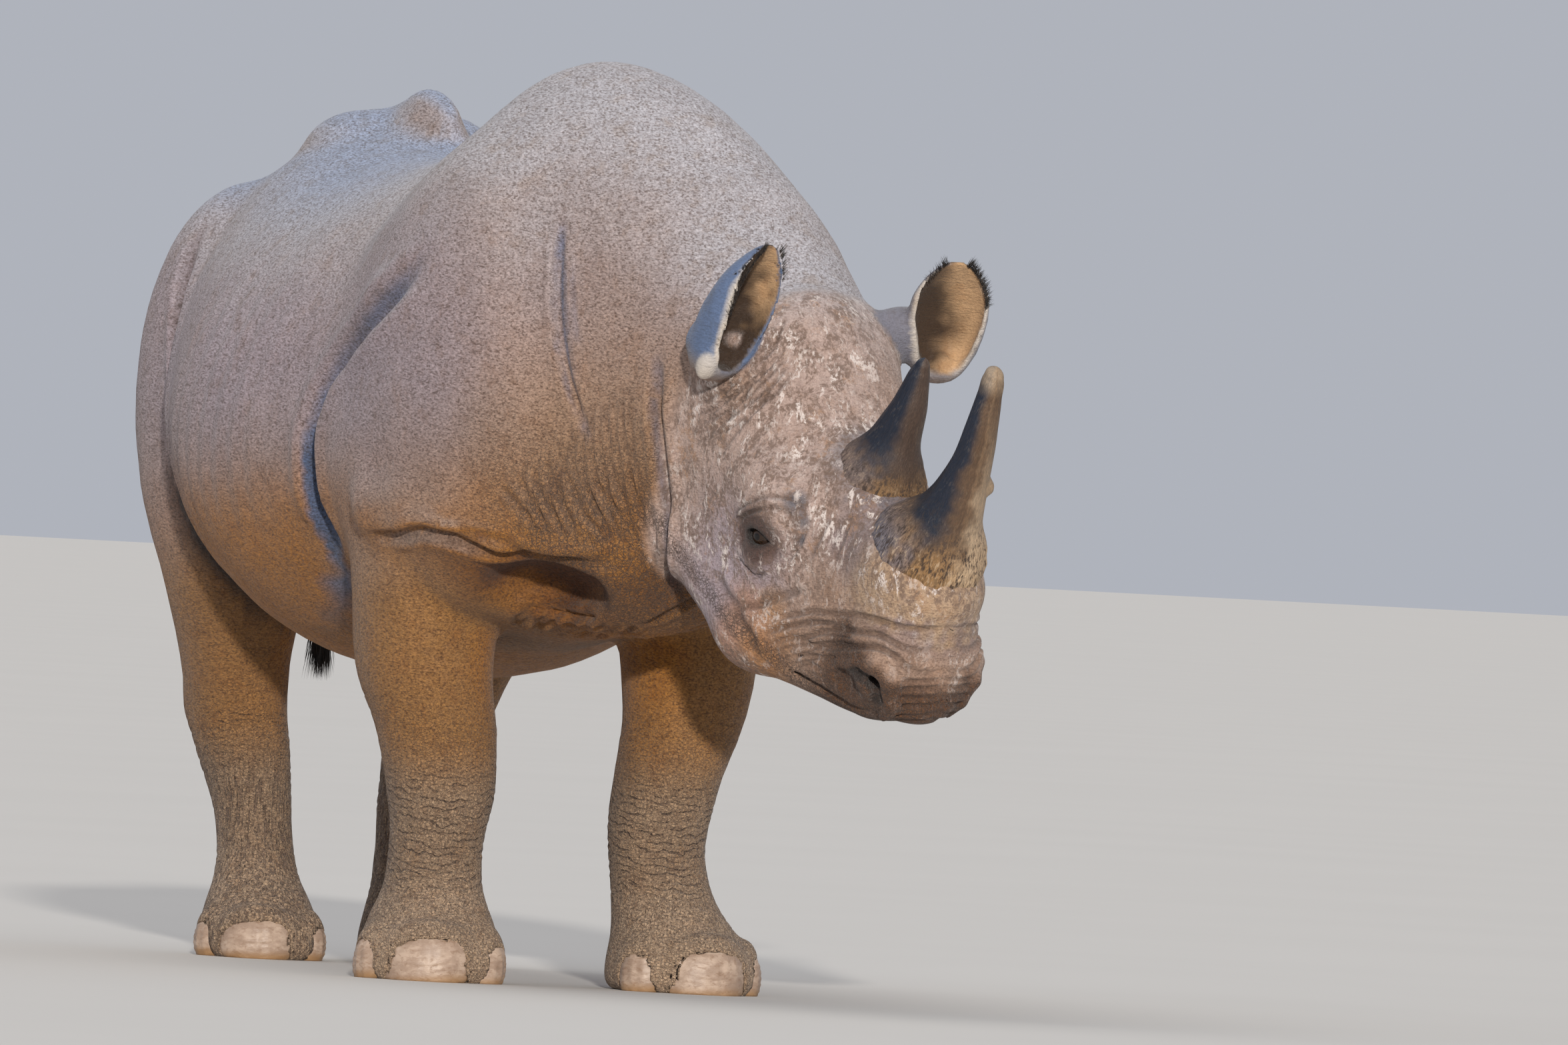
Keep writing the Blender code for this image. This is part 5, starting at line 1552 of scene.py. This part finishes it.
def spared(p, folded):
    """How far the thinning spares points: most on the head's right side, then folds, feet and chest."""
    h = to_head(p)
    y, z = p[:, 1], p[:, 2]
    head = ramp(skull_form(h), .16, .05) * ramp(h[:, 0], -.06, .04)
    feet = .55 * ramp(z, .24, .16) * ramp(y, .1, -.1) + .25 * ramp(z, .5, .4)
    chest = .60 * ramp(y, -.20, -.34) * ramp(z, 1.15, .9)
    most = np.maximum.reduce([.93 * head * (.55 + .45 * ramp(h[:, 1], .06, -.02)), feet, chest, .85 * folded])
    return np.clip(most, 0, 1)


def moved(obj, p):
    """Puts a piece's points at new places."""
    obj.data.vertices.foreach_set("co", p.astype(np.float32).ravel())
    obj.data.update()


def build_hide(look):
    """The level surface of the hide's form, creased, thinned, refined where it is finest, and coloured."""
    step = look.lattice * 1
    low = np.array(CAD_BOX[0]) + SHIFT - 4 * step
    cells = [int(np.ceil(c / step / 16)) * 16 for c in np.array(CAD_BOX[1]) + SHIFT + 4 * step - low]
    points, quads = net(sampled(hide_form, low, cells, step), low, step)
    folds = all_folds()
    depth, slate_shade, dark = fold_effects(points, folds)
    points = points - outward(points, quads) * (depth + ring_depth(points))[:, None]
    obj = surface_object("hide", points, quads, None, None)

    spare = spared(points, np.maximum(slate_shade, dark))
    thinned(obj, 1 - spare, look.triangles * (1))

    refined(obj, lambda p: near_eyes(p, LID_REACH))
    refined(obj, lambda p: near_eyes(p, LID_FINE) | near_lips(p) | near_muzzle(p))
    p = places(obj)
    close = np.flatnonzero(near_eyes(p, LID_SETTLE) | near_lips(p) | near_muzzle(p))
    p[close] = settled(lambda q: hide_form(q) + relief(q, folds), p[close], most=.003)
    moved(obj, p)
    values = paint_hide(look, p, normals(obj), folds)
    p = p - SHIFT
    p[:, 2] = np.maximum(p[:, 2], 0)
    moved(obj, p)
    obj.data.shade_smooth()
    for name, value in zip(("tone", "marks", "level"), values):
        vertex_values(obj, name, value)
    obj.data.materials.clear()
    obj.data.materials.append(hide_material(look))
    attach(obj, "root")
    flesh = ["trunk", "neck", "head", "ear_left", "ear_right", "tail"]
    flesh += [f"{part}_{leg}" for leg in LEG_TABLES for part in ("leg", "shin", "foot")]
    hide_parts(*flesh)
    return obj


# ---- eyes, horns and nails
CORNEA_EDGE = (.62, .30)       # angles from the gaze at which the clear dome begins and is full


def eye_grid(side, look):
    """Ball round the gaze: radius r at angle a from it, with a low dome where a is small (the cornea)."""
    centre, along, up, gaze = eye_frame(side)
    a = np.linspace(0, np.pi, 41)[:, None]
    t = np.linspace(0, 2 * np.pi, 64, endpoint=False)[None]
    r = look.radius + look.cornea * ramp(a, *CORNEA_EDGE) + 0 * t
    direction = np.stack([np.cos(a) + 0 * t, np.sin(a) * np.cos(t), np.sin(a) * np.sin(t)], -1) \
        @ np.array([gaze, along, up])
    return from_head(centre + r[..., None] * direction) - SHIFT, a + 0 * t, t + 0 * a


def build_eyes(look):
    """Both eyeballs, with the values that colour pupil and iris."""
    material = eye_material(look)
    for name, side in (("eye_left", 1), ("eye_right", -1)):
        grid, a, t = eye_grid(side, look)
        points, faces = wrapped(grid)
        obj = surface_object("eyeball" + name[3:], points, faces, "eye", material, (name,))
        vertex_values(obj, "angle", flat_rows(a))
        spoke = .5 + .22 * np.sin(17 * t + 2 * np.sin(3 * t)) + .2 * np.sin(29 * t + a * 3)
        vertex_values(obj, "spoke", flat_rows(spoke))


def horn_grid(which, look):
    """Tube up the horn: at height v an oval |x/a|^n + |y/b|^n = 1 round the bent middle line, moved out or in
    by fibres that run along it, by the ragged ledges of its base and by slight bends."""
    table = HORN_TABLES[which]
    rows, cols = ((210, 168))
    share = np.linspace(0, 1, rows)[:, None]
    top = table[0][-1]
    v = table[0][0] - .035 + (top - table[0][0] + .035) * (1 - (1 - share) ** 1.25)
    v[-1] = top
    t = np.linspace(0, 2 * np.pi, cols, endpoint=False)[None]
    middle_u, a, b = (c + 0 * t for c in at(table, v))
    c, s = np.cos(t), np.sin(t)
    power = 2 / look.roundness
    du, ds = np.sign(c) * np.abs(c) ** power * a, np.sign(s) * np.abs(s) ** power * b
    high = (v - table[0][0]) / (top - table[0][0]) + 0 * t
    h = np.stack([middle_u + du, ds, v + 0 * t], -1)
    low = ramp(high, .40, .02)
    around = np.stack([c + 0 * v, s + 0 * v, v * 1.2 + 0 * t], -1)
    fibre = clouds(around * (1, 1, .8), .075, 41) + .6 * clouds(around, .034, 42)
    ledge = clouds(np.stack([c * .12 + 0 * v, s * .12 + 0 * v, v + 0 * t], -1), .028, 43)
    shift = look.fibre_depth * fibre * (.35 + .9 * low) + look.ledge_depth * low * ledge
    shift += .0028 * clouds(h, .055, 44) * (1 - .5 * low) + .0022 * low * clouds(h, .012, 45)
    shift *= ramp(high, 1.0, .90)
    way = np.stack([du / a**2, ds / b**2, 0 * du], -1)
    way /= np.linalg.norm(way, axis=-1, keepdims=True)
    if which == "front":
        # flattened, slightly hollow rear right side, and a worn knob low on the front
        turn = np.arctan2(-ds, -du)
        shift -= .0105 * ramp(np.abs(turn - .75), .75, .15) * ramp(high, .18, .34) * ramp(high, .98, .6)
        knob = np.linalg.norm(h - np.array(look.knob), axis=-1)
        shift += .010 * ramp(knob, .022, .004)
    return from_head(h + way * shift[..., None]) - SHIFT, h, high


def paint_horn(look, which, h, high):
    """Brown to charcoal shaft over a frayed tan base, with pale worn places and, in front, a painted
    highlight.
    """
    u, s, v = h.reshape(-1, 3).T
    middle_u, a, b = at(HORN_TABLES[which], v)
    behind = -(u - middle_u) / a * .55 - s / b * .75          # 1 at the rear right, -1 at the front left
    climb = high.ravel()
    drift = clouds(h.reshape(-1, 3), .030, 50) * .6 + clouds(h.reshape(-1, 3), .011, 51) * .4
    coat = Coat(look, "horn_brown", len(u))
    coat.lay("horn_charcoal", ramp(behind + .25 * drift, -.10, .45) * ramp(climb, .16, .30))
    if which == "front":
        coat.lay("horn_tan", ramp(climb + .08 * drift, .34, .10))
        coat.lay("horn_pale", ramp(behind + .4 * drift, -.30, -.80) * ramp(climb, .95, .2) * .55)
        coat.lay("horn_slate", ramp(behind + .35 * drift, .25, .75) * ramp(climb, .30, .12) * .85)
        coat.lay("horn_pale", ramp(climb + .03 * drift, .88, .985) * .40)
        # painted highlight up the front of the shaft
        highlight = ramp(np.abs(behind + .40 + .10 * drift), .13, .02) * ramp(climb, .22, .4)
        coat.lay("horn_ridge", highlight * .55)
    else:
        coat.lay("horn_charcoal", ramp(climb, .22, .40) * .35)
        coat.lay("horn_tan", ramp(climb + .10 * drift, .36, .10) * .8)
        coat.lay("horn_slate", ramp(behind + .3 * drift, .0, .6) * ramp(climb, .38, .16) * .5)
    return coat.tone.reshape(h.shape)


def build_horns(look):
    """Front and rear horn, coloured and with the share of their height."""
    material = horn_material(look)
    for which in ("front", "rear"):
        grid, h, high = horn_grid(which, look)
        points, faces = wrapped(grid)
        obj = surface_object(f"{which}_horn", points, faces, "horn", material, (f"horn_{which}",))
        vertex_values(obj, "tone", flat_rows(paint_horn(look, which, h, high)))
        vertex_values(obj, "height", flat_rows(np.clip(high, 0, 1)))


def nail_grid(foot, which, look):
    """Domed oval plate bent round the foot: |x/w|^n + |z/h|^n + |y/d|^n = 1, with growth lines that follow
    its top edge, cut flat at the floor."""
    _, half, height = nail_place(np.zeros((1, 3)), foot, which)
    centre, turn, _, _ = nail_frame(foot, which)
    a = np.linspace(0, np.pi, 37)[:, None]
    t = np.linspace(0, 2 * np.pi, 56, endpoint=False)[None]
    # a: from the plate's face to its back; t: round its edge
    n = look.squareness
    wide, high, out = np.sin(a) * np.cos(t), np.sin(a) * np.sin(t), np.cos(a) + 0 * t
    size = (np.abs(wide) ** n + np.abs(high) ** n + np.abs(out) ** n) ** (1 / n)
    wide, high, out = wide / size, high / size, out / size
    line = np.sin(2 * np.pi * (high * height - .25 * half * wide**2) / look.growth)
    lift = .0006 * line + .0010 * clouds(np.stack([wide * half, high * height * .3, 0 * wide], -1), .010, 60)
    x, y = wide * half * .985, .002 + out * look.dome + lift * (out > 0)
    z = high * height * .985 + .10 * wide * half * LEAN[foot]
    inward = NAIL_BEND - np.sqrt(np.maximum(NAIL_BEND**2 - x**2, 1e-4)) - y
    c, s = np.cos(turn), np.sin(turn)
    p = centre + np.stack([x * c - inward * s, x * s + inward * c, z], -1)
    p = p - SHIFT
    p[..., 2] = np.maximum(p[..., 2], 0)
    return p, (high + 1) / 2


def build_nails(look):
    """Three nails on each foot as one piece, with the share of their height."""
    material = nail_material(look)
    for foot in LEG_TABLES:
        points, faces, heights, start = [], [], [], 0
        for which, _, _, _ in NAILS:
            grid, high = nail_grid(foot, which, look)
            p, f = wrapped(grid)
            points.append(p)
            faces += [[i + start for i in face] for face in f]
            heights.append(flat_rows(high))
            start += len(p)
        names = [f"nail_{foot}_{which}" for which, _, _, _ in NAILS]
        obj = surface_object(f"nails_{foot}", np.concatenate(points), faces, "nail", material, names)
        vertex_values(obj, "height", np.concatenate(heights))


# ---- hairs
def hairs_object(name, roots, ways, bends, lengths, widths, map_at, material, replaced=()):
    """Tapered three-sided hairs: each middle line is root + way L t + bend L t^2, t from 0 to 1, and its
    half width w (1 - t)^0.7.  Every hair's map patch lies at its root's place on the unwrapped hide."""
    count, rings = len(roots), 5
    t = (np.arange(rings) / rings)[None, :, None]
    line = roots[:, None] + lengths[:, None, None] * (ways[:, None] * t + bends[:, None] * t**2)
    tip = roots + lengths[:, None] * (ways + bends)
    side = np.cross(ways, (.31, .52, .79))
    side /= np.linalg.norm(side, axis=1, keepdims=True)
    other = np.cross(ways, side)
    other /= np.linalg.norm(other, axis=1, keepdims=True)
    turn = 2 * np.pi * np.arange(3) / 3
    spread = widths[:, None, None, None] * ((1 - t) ** .7)[..., None] \
        * (np.cos(turn)[:, None] * side[:, None, None] + np.sin(turn)[:, None] * other[:, None, None])
    body = (line[:, :, None] + spread).reshape(count, -1, 3)
    points = np.concatenate([body, tip[:, None]], 1)                     # 3 a ring, then the tip
    per = points.shape[1]
    faces, patch = [(0, 2, 1)], [(0, 0), (.4, 0), (.8, 0)]
    for r in range(rings - 1):
        for c in range(3):
            i, j = 3 * r + c, 3 * r + (c + 1) % 3
            faces.append((i, j, j + 3))
            faces.append((i, j + 3, i + 3))
    last = 3 * (rings - 1)
    faces += [(last + c, last + (c + 1) % 3, 3 * rings) for c in range(3)]
    faces = np.array(faces)
    everything = (faces[None] + per * np.arange(count)[:, None, None]).reshape(-1, 3)
    obj = surface_object(name, points.reshape(-1, 3), everything, "hair", material, replaced)
    own = np.array([((i % 3) * .4, (i // 3) / rings) for i in range(per)])
    own[-1] = (.4, 1.0)
    uv = map_at[:, None] + own[None] * .003
    layer = obj.data.uv_layers.new(name="OFBake")
    layer.data.foreach_set("uv", uv.reshape(-1, 2)[everything.ravel()].astype(np.float32).ravel())
    return obj


def build_tail_tuft(look, material):
    """Coarse hairs hanging from the tail's lower end, longest at its tip."""
    rng = np.random.default_rng(11)
    count = look.tuft_hairs
    low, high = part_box("tail_tuft")
    low, high = np.array(low) + SHIFT, np.array(high) + SHIFT
    z = high[2] - (high[2] - low[2]) * .80 * rng.random(count) ** .8
    turn = rng.uniform(0, 2 * np.pi, count)
    x, y, r = at(TAIL_TABLE, z)
    level = np.maximum(z, TAIL[0][0] + .010)
    radius = np.where(z < level, .006, r * .8)
    roots = np.stack([x + radius * np.cos(turn), y + radius * np.sin(turn), level], -1)
    out = np.stack([np.cos(turn) * .8, np.sin(turn) * .8, 0 * z], -1)
    ways = out * rng.uniform(.02, .20, count)[:, None] + (0, 0, -1) + .05 * rng.normal(size=(count, 3))
    bends = -out * rng.uniform(.0, .12, count)[:, None] + .03 * rng.normal(size=(count, 3)) * (1, 1, 0)
    reach = level - (low[2] + .004 + .055 * rng.random(count) ** 1.4)
    lengths = np.clip(reach, .03, None) / np.abs(ways[:, 2] + bends[:, 2])
    roots, widths = roots - SHIFT, rng.uniform(.0009, .0017, count)
    map_at = np.stack([.02 + .10 * turn / (2 * np.pi), .02 + .10 * (high[2] - z) / (high[2] - low[2])], -1)
    return hairs_object("tail_tuft_hair", roots, ways, bends, lengths, widths, map_at, material,
                        ("tail_tuft",))


def rim_line(side, edge, t):
    """The ear's rim at a share of its length: the two edges of the slit in its oval section."""
    foot, length, along, across, out = ear_frame(side)
    wide, deep, slit = at(EAR_TABLE, t)
    deep = deep * EAR_DEPTH[side]
    turn = np.radians(slit)
    sideways, forward = edge * np.sin(turn) * wide, np.cos(turn) * deep
    place = foot + (t * length)[:, None] * along + sideways[:, None] * across + forward[:, None] * out
    away = (edge * np.sin(turn))[:, None] * across - .15 * out
    return place, away, along


def build_ear_fringe(look, material, side):
    """Short black hairs along the upper and outer rim of an ear, closest at its tip."""
    rng = np.random.default_rng(23 if side == "left" else 29)
    count = look.fringe_hairs
    main = -1.0 if side == "left" else 1.0
    edge = np.where(rng.random(count) < .80, main, -main)
    t = 1.01 - (.34 if side == "left" else .50) * rng.random(count) ** 1.6
    t = np.where(edge == main, t, 1.01 - .45 * (1.01 - t))
    place, away, along = rim_line(side, edge, t)
    place = place + away * .004 + .0016 * rng.normal(size=(count, 3))
    h = settled(lambda q: ear_form(q, side), place, 2, most=.004)
    ways = away * .55 + along * (.35 + .6 * ramp(t, .80, 1.0))[:, None] + .22 * rng.normal(size=(count, 3))
    ways /= np.linalg.norm(ways, axis=1, keepdims=True)
    lengths = rng.uniform(.35, 1.0, count) * look.fringe_length
    bends = .25 * along + .10 * rng.normal(size=(count, 3))
    roots = from_head(h - ways * .002) - SHIFT
    ways, bends = ways @ AXES, bends @ AXES
    base = .20 if side == "left" else .40
    map_at = np.stack([base + .12 * t, .30 + .04 * edge + .02 * rng.random(count)], -1)
    widths = rng.uniform(.00035, .0007, count)
    return hairs_object(f"ear_fringe_{side}", roots, ways, bends, lengths, widths, map_at, material)


# ---- floor, light, camera
# Lights: name, way towards it, its apparent width in degrees
LAMPS = (("key", (-.240, -.955, .21), 2.0), ("top", (-.25, .35, 1.0), 50.0), ("fill", (.30, -.90, .25), 70.0))


def build_stage(look):
    """Floor, surroundings, three lights and the camera."""
    span = look.floor_span / 2
    mesh = bpy.data.meshes.new("floor")
    corners = [(-span, -span, 0), (span, -span, 0), (span, span, 0), (-span, span, 0)]
    mesh.from_pydata(corners, [], [(0, 1, 2, 3)])
    floor = bpy.data.objects.new("floor", mesh)
    mesh.materials.append(floor_material(look))
    bpy.context.scene.collection.objects.link(floor)
    world = bpy.data.worlds.new("studio")
    world.use_nodes = True
    sky = world.node_tree.nodes["Background"]
    sky.inputs["Color"].default_value = (*look.sky_colour, 1)
    sky.inputs["Strength"].default_value = look.sky_strength
    bpy.context.scene.world = world
    for name, way, angle in LAMPS:
        data = bpy.data.lights.new(name, "SUN")
        data.energy, data.angle = getattr(look, name + "_strength"), np.radians(angle)
        data.color = look.key_colour
        lamp = bpy.data.objects.new(name, data)
        lamp.rotation_mode = "QUATERNION"
        lamp.rotation_quaternion = Vector(way).to_track_quat("Z", "Y")
        bpy.context.scene.collection.objects.link(lamp)
    eye, aim = Vector(look.camera_at), Vector(look.camera_aim)
    data = bpy.data.cameras.new("camera")
    data.lens, data.sensor_width = look.lens, 36
    data.clip_start, data.clip_end = 1, 1000
    camera = bpy.data.objects.new("camera", data)
    back = (eye - aim).normalized()
    level = Vector((0, 0, 1)).cross(back).normalized()
    up = back.cross(level)
    roll = Matrix.Rotation(look.camera_roll, 3, back)
    turn = Matrix((roll @ level, roll @ up, back)).transposed()
    camera.matrix_world = Matrix.Translation(eye) @ turn.to_4x4()
    bpy.context.scene.collection.objects.link(camera)
    bpy.context.scene.camera = camera
    bpy.context.scene.view_settings.view_transform = "Standard"


# ---- the add-on
def colour(name, words, rgb):
    return bpy.props.FloatVectorProperty(name=name, description=words, default=rgb, size=3, min=0, max=2,
                                         subtype="COLOR")


def distance(name, words, metres):
    return bpy.props.FloatProperty(name=name, description=words, default=metres, min=0, precision=4,
                                   subtype="DISTANCE", unit="LENGTH")


def place_of(name, words, default):
    return bpy.props.FloatVectorProperty(name=name, description=words, default=default, size=3,
                                         subtype="TRANSLATION", unit="LENGTH")


def number(name, words, value, **more):
    return bpy.props.FloatProperty(name=name, description=words, default=value, **more)


def count_of(name, words, value):
    return bpy.props.IntProperty(name=name, description=words, default=value, min=1)


class HideLook(bpy.types.PropertyGroup):
    lattice: distance("Lattice", "Cell of the lattice that the hide is worked out on", .005)
    triangles: count_of("Triangles", "Triangles left after the smooth parts are thinned", 130000)
    grain_size: distance("Grain", "Size of the short dark dashes of the hide", .0046)
    dash_strength: number("Dashes", "How strongly the dashes show", .90, min=0, max=1)
    hide: colour("Hide", "Flanks", (.270, .200, .178))
    lilac: colour("Lilac", "Dusty upper flanks", (.285, .235, .270))
    dust: colour("Dust", "Pale dust on upward faces", (.37, .355, .38))
    # painted bluish sky light on the croup's upward faces
    sky: colour("Sky dust", "Bluish dust on the croup", (.20, .27, .42))
    warm: colour("Warm", "Lower flanks and neck", (.290, .178, .112))
    # ochre also stands for painted warm shade under the body and head, in the armpits and on the legs' inner
    # and rear faces
    ochre: colour("Ochre", "Belly, armpits and inner legs", (.29, .115, .014))
    # painted bluish shade: deep folds, the shadow cast behind shoulder and foreleg, backs of the ears
    slate_shade: colour("Slate", "Shaded deep folds and backs of the ears", (.075, .125, .235))
    leg: colour("Upper legs", "Upper legs", (.250, .118, .026))
    stain: colour("Stains", "Brown stains of the wrists", (.150, .085, .040))
    shin: colour("Lower legs", "Lower legs and feet", (.33, .230, .150))
    head: colour("Head", "Face under the dried mud", (.365, .265, .225))
    lid: colour("Round the eye", "Skin round the eye", (.062, .031, .023))
    lid_rim: colour("Lid rim", "Wet rims of the lids", (.03, .02, .018))
    # painted brown shade in the armpits and in the crease in front of the thighs
    brown_shade: colour("Armpits", "Depth of the armpits", (.060, .017, .003))
    # painted shade in spots above and before the eyes; also laid round the rear horn's seat
    charcoal: colour("Charcoal", "Dark patch over the eye", (.070, .078, .100))
    fray: colour("Frayed skin", "Skin round the horns", (.40, .27, .165))
    muzzle: colour("Muzzle", "Muzzle between its folds", (.285, .185, .132))
    bridge: colour("Bridge", "Bridge of the nose round the horns", (.190, .145, .145))
    # painted shade on the chin and lower lip, under the muzzle
    chin_shade: colour("Chin", "Lower lip and chin", (.075, .026, .004))
    # painted shade, near black, in the lids' slit, the nostrils, the mouth's line, the shadow band and the
    # crease before the thighs
    black: colour("Openings", "Inside of the nostrils and the lips' line", (.012, .008, .007))
    cream: colour("Ear rim", "Rims of the ears", (.52, .46, .40))
    # painted shade in the ears' hollows
    ear_hollow_shade: colour("Ear hollow", "Depth of the ears", (.020, .009, .004))
    ear_glow: colour("Ear inside", "Lit inner face of the ears", (.42, .265, .145))
    ear_back: colour("Ear back", "Backs of the ears", (.17, .145, .14))
    dust_tint: colour("Dust tint", "Broad pale unevenness, multiplied", (1.10, 1.09, 1.08))
    stain_tint: colour("Stain tint", "Broad brown unevenness, multiplied", (.80, .70, .60))
    dash_tint: colour("Dash tint", "Short dark dashes, multiplied", (.36, .30, .27))
    pebble_tint: colour("Pebble tint", "Pale grains between the dashes, multiplied", (1.38, 1.38, 1.38))
    clump_tint: colour("Clump tint", "Darker clumps of grain, multiplied", (.66, .60, .56))
    mud: colour("Dried mud", "Pale dried mud on the head", (.62, .54, .50))
    bark: colour("Weathered patches", "Dark weathered patches of the head", (.135, .085, .062))
    rust: colour("Rusty patches", "Rust-brown patches of the head", (.27, .145, .075))
    ring_pitch: distance("Rings", "Pitch of the wrinkle rings", .0135)
    crack: colour("Cracks", "Fine cracks", (.09, .055, .04))
    # painted shade at the bottoms of the folds
    fold: colour("Folds", "Bottoms of the folds", (.050, .027, .018))


class EyeLook(bpy.types.PropertyGroup):
    radius: distance("Radius", "Radius of the eyeball", EYE_BALL)
    cornea: distance("Cornea", "How far the clear front stands out", .0014)
    iris_dark: colour("Iris, dark", "Dark fibres of the iris", (.012, .007, .005))
    iris_light: colour("Iris, light", "Light fibres of the iris", (.034, .017, .009))
    pupil: colour("Pupil", "Pupil", (.004, .003, .003))
    eye_rim: colour("Eye rim", "Outside of the iris", (.030, .018, .014))


class HornLook(bpy.types.PropertyGroup):
    roundness: number("Roundness", "Exponent of the oval section", 2.1, min=2, max=4)
    fibre_depth: distance("Fibres", "Depth of the fibres", .0011)
    ledge_depth: distance("Ledges", "Depth of the ragged ledges of the base", .0034)
    knob: place_of("Knob", "Place of the worn knob, along, across and up the head", (.583, .040, .278))
    horn_brown: colour("Brown", "Front of the shaft", (.072, .042, .024))
    horn_charcoal: colour("Charcoal", "Rear right side of the shaft", (.007, .011, .022))
    horn_slate: colour("Slate", "Rear of the base", (.10, .105, .14))
    horn_tan: colour("Tan", "Frayed base", (.210, .120, .052))
    # painted highlight up the front of the shaft
    horn_ridge: colour("Ridge", "Light ridge up the front", (.150, .095, .055))
    horn_pale: colour("Pale", "Worn tip and pale flecks", (.50, .38, .26))
    horn_dark: colour("Dark flecks", "Dark flecks and pits", (.040, .026, .020))
    horn_light: colour("Fibre tint", "Light fibres, multiplied", (1.35, 1.30, 1.25))


class NailLook(bpy.types.PropertyGroup):
    squareness: number("Squareness", "Exponent of the plate's outline", 2.3, min=2, max=5)
    dome: distance("Dome", "How far the plate stands out", .0275)
    growth: distance("Growth lines", "Pitch of the growth lines", .011)
    nail: colour("Nail", "Plate", (.29, .200, .145))
    pale: colour("Pale", "Pale streaks", (.42, .31, .235))
    stain: colour("Stain", "Earth stains", (.21, .125, .075))
    edge: colour("Edge", "Lower edge", (.26, .135, .045))
    cuticle: colour("Cuticle", "Upper rim", (.52, .43, .34))


class HairLook(bpy.types.PropertyGroup):
    tuft_hairs: count_of("Tuft hairs", "Hairs of the tail tuft", 300)
    fringe_hairs: count_of("Fringe hairs", "Hairs of each ear's fringe", 420)
    fringe_length: distance("Fringe length", "Longest hairs of the fringe", .017)
    hair_dark: colour("Dark", "Hair", (.012, .010, .010))
    hair_light: colour("Light", "Weathered hair", (.050, .038, .030))


class StageLook(bpy.types.PropertyGroup):
    floor_span: distance("Floor", "Side of the floor", 600)
    floor_colour: colour("Floor", "Pale floor", (.62, .60, .57))
    sky_colour: colour("Surroundings", "Pale surroundings", (.86, .90, 1.0))
    sky_strength: number("Surroundings", "Brightness of the surroundings", .50, min=0)
    key_colour: colour("Key", "Colour of the soft lights", (1.0, .96, .90))
    key_strength: number("Key", "Brightness of the key light", 3.45, min=0)
    top_strength: number("Top", "Brightness of the light from behind and above", .75, min=0)
    fill_strength: number("Fill", "Brightness of the soft light from the front", .38, min=0)
    lens: number("Lens", "Focal length in millimetres", 532.8, min=1)
    camera_roll: number("Roll", "Turn of the camera about its line of sight", np.radians(3.0),
                        subtype="ANGLE", unit="ROTATION")
    camera_at: place_of("Camera", "Place of the camera", (-11.896, -38.340, .82))
    camera_aim: place_of("Aim", "What the camera looks at", (.347, -.256, .819))


class RHINO_OT_stage(bpy.types.Operator):
    """Pale floor, soft studio light and the camera"""
    bl_idname = "rhino.stage"
    bl_label = "Stage"

    def execute(self, context):
        build_stage(context.scene.rhino_stage)
        return {"FINISHED"}


class RHINO_OT_hide(bpy.types.Operator):
    """The hide in one piece, with folds, lids and nostrils"""
    bl_idname = "rhino.hide"
    bl_label = "Hide"

    def execute(self, context):
        build_hide(context.scene.rhino_hide)
        return {"FINISHED"}


class RHINO_OT_eyes(bpy.types.Operator):
    """Both eyeballs"""
    bl_idname = "rhino.eyes"
    bl_label = "Eyes"

    def execute(self, context):
        build_eyes(context.scene.rhino_eye)
        return {"FINISHED"}


class RHINO_OT_horns(bpy.types.Operator):
    """Front and rear horn"""
    bl_idname = "rhino.horns"
    bl_label = "Horns"

    def execute(self, context):
        build_horns(context.scene.rhino_horn)
        return {"FINISHED"}


class RHINO_OT_nails(bpy.types.Operator):
    """Three nails on each foot"""
    bl_idname = "rhino.nails"
    bl_label = "Nails"

    def execute(self, context):
        build_nails(context.scene.rhino_nail)
        return {"FINISHED"}


class RHINO_OT_hairs(bpy.types.Operator):
    """Tail tuft and ear fringes"""
    bl_idname = "rhino.hairs"
    bl_label = "Hairs"

    def execute(self, context):
        look = context.scene.rhino_hair
        material = hair_material(look)
        build_tail_tuft(look, material)
        for side in EAR_ENDS:
            build_ear_fringe(look, material, side)
        return {"FINISHED"}


OPERATORS = (RHINO_OT_stage, RHINO_OT_hide, RHINO_OT_eyes, RHINO_OT_horns, RHINO_OT_nails, RHINO_OT_hairs)
LOOKS = (("rhino_hide", HideLook), ("rhino_eye", EyeLook), ("rhino_horn", HornLook), ("rhino_nail", NailLook),
         ("rhino_hair", HairLook), ("rhino_stage", StageLook))


class RHINO_PT_panel(bpy.types.Panel):
    """Everything that builds the rhinoceros"""
    bl_idname = "RHINO_PT_panel"
    bl_label = "Rhinoceros"
    bl_space_type = "VIEW_3D"
    bl_region_type = "UI"
    bl_category = "Rhinoceros"

    def draw(self, context):
        for operator in OPERATORS:
            self.layout.operator(operator.bl_idname)


def register():
    for name, group in LOOKS:
        bpy.utils.register_class(group)
        setattr(bpy.types.Scene, name, bpy.props.PointerProperty(type=group))
    for operator in OPERATORS:
        bpy.utils.register_class(operator)
    bpy.utils.register_class(RHINO_PT_panel)


def unregister():
    bpy.utils.unregister_class(RHINO_PT_panel)
    for operator in reversed(OPERATORS):
        bpy.utils.unregister_class(operator)
    for name, group in reversed(LOOKS):
        delattr(bpy.types.Scene, name)
        bpy.utils.unregister_class(group)


def main():
    register()
    for name in ("stage", "hide", "eyes", "horns", "nails", "hairs"):
        getattr(bpy.ops.rhino, name)()
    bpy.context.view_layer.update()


if __name__ == "__main__":
    main()
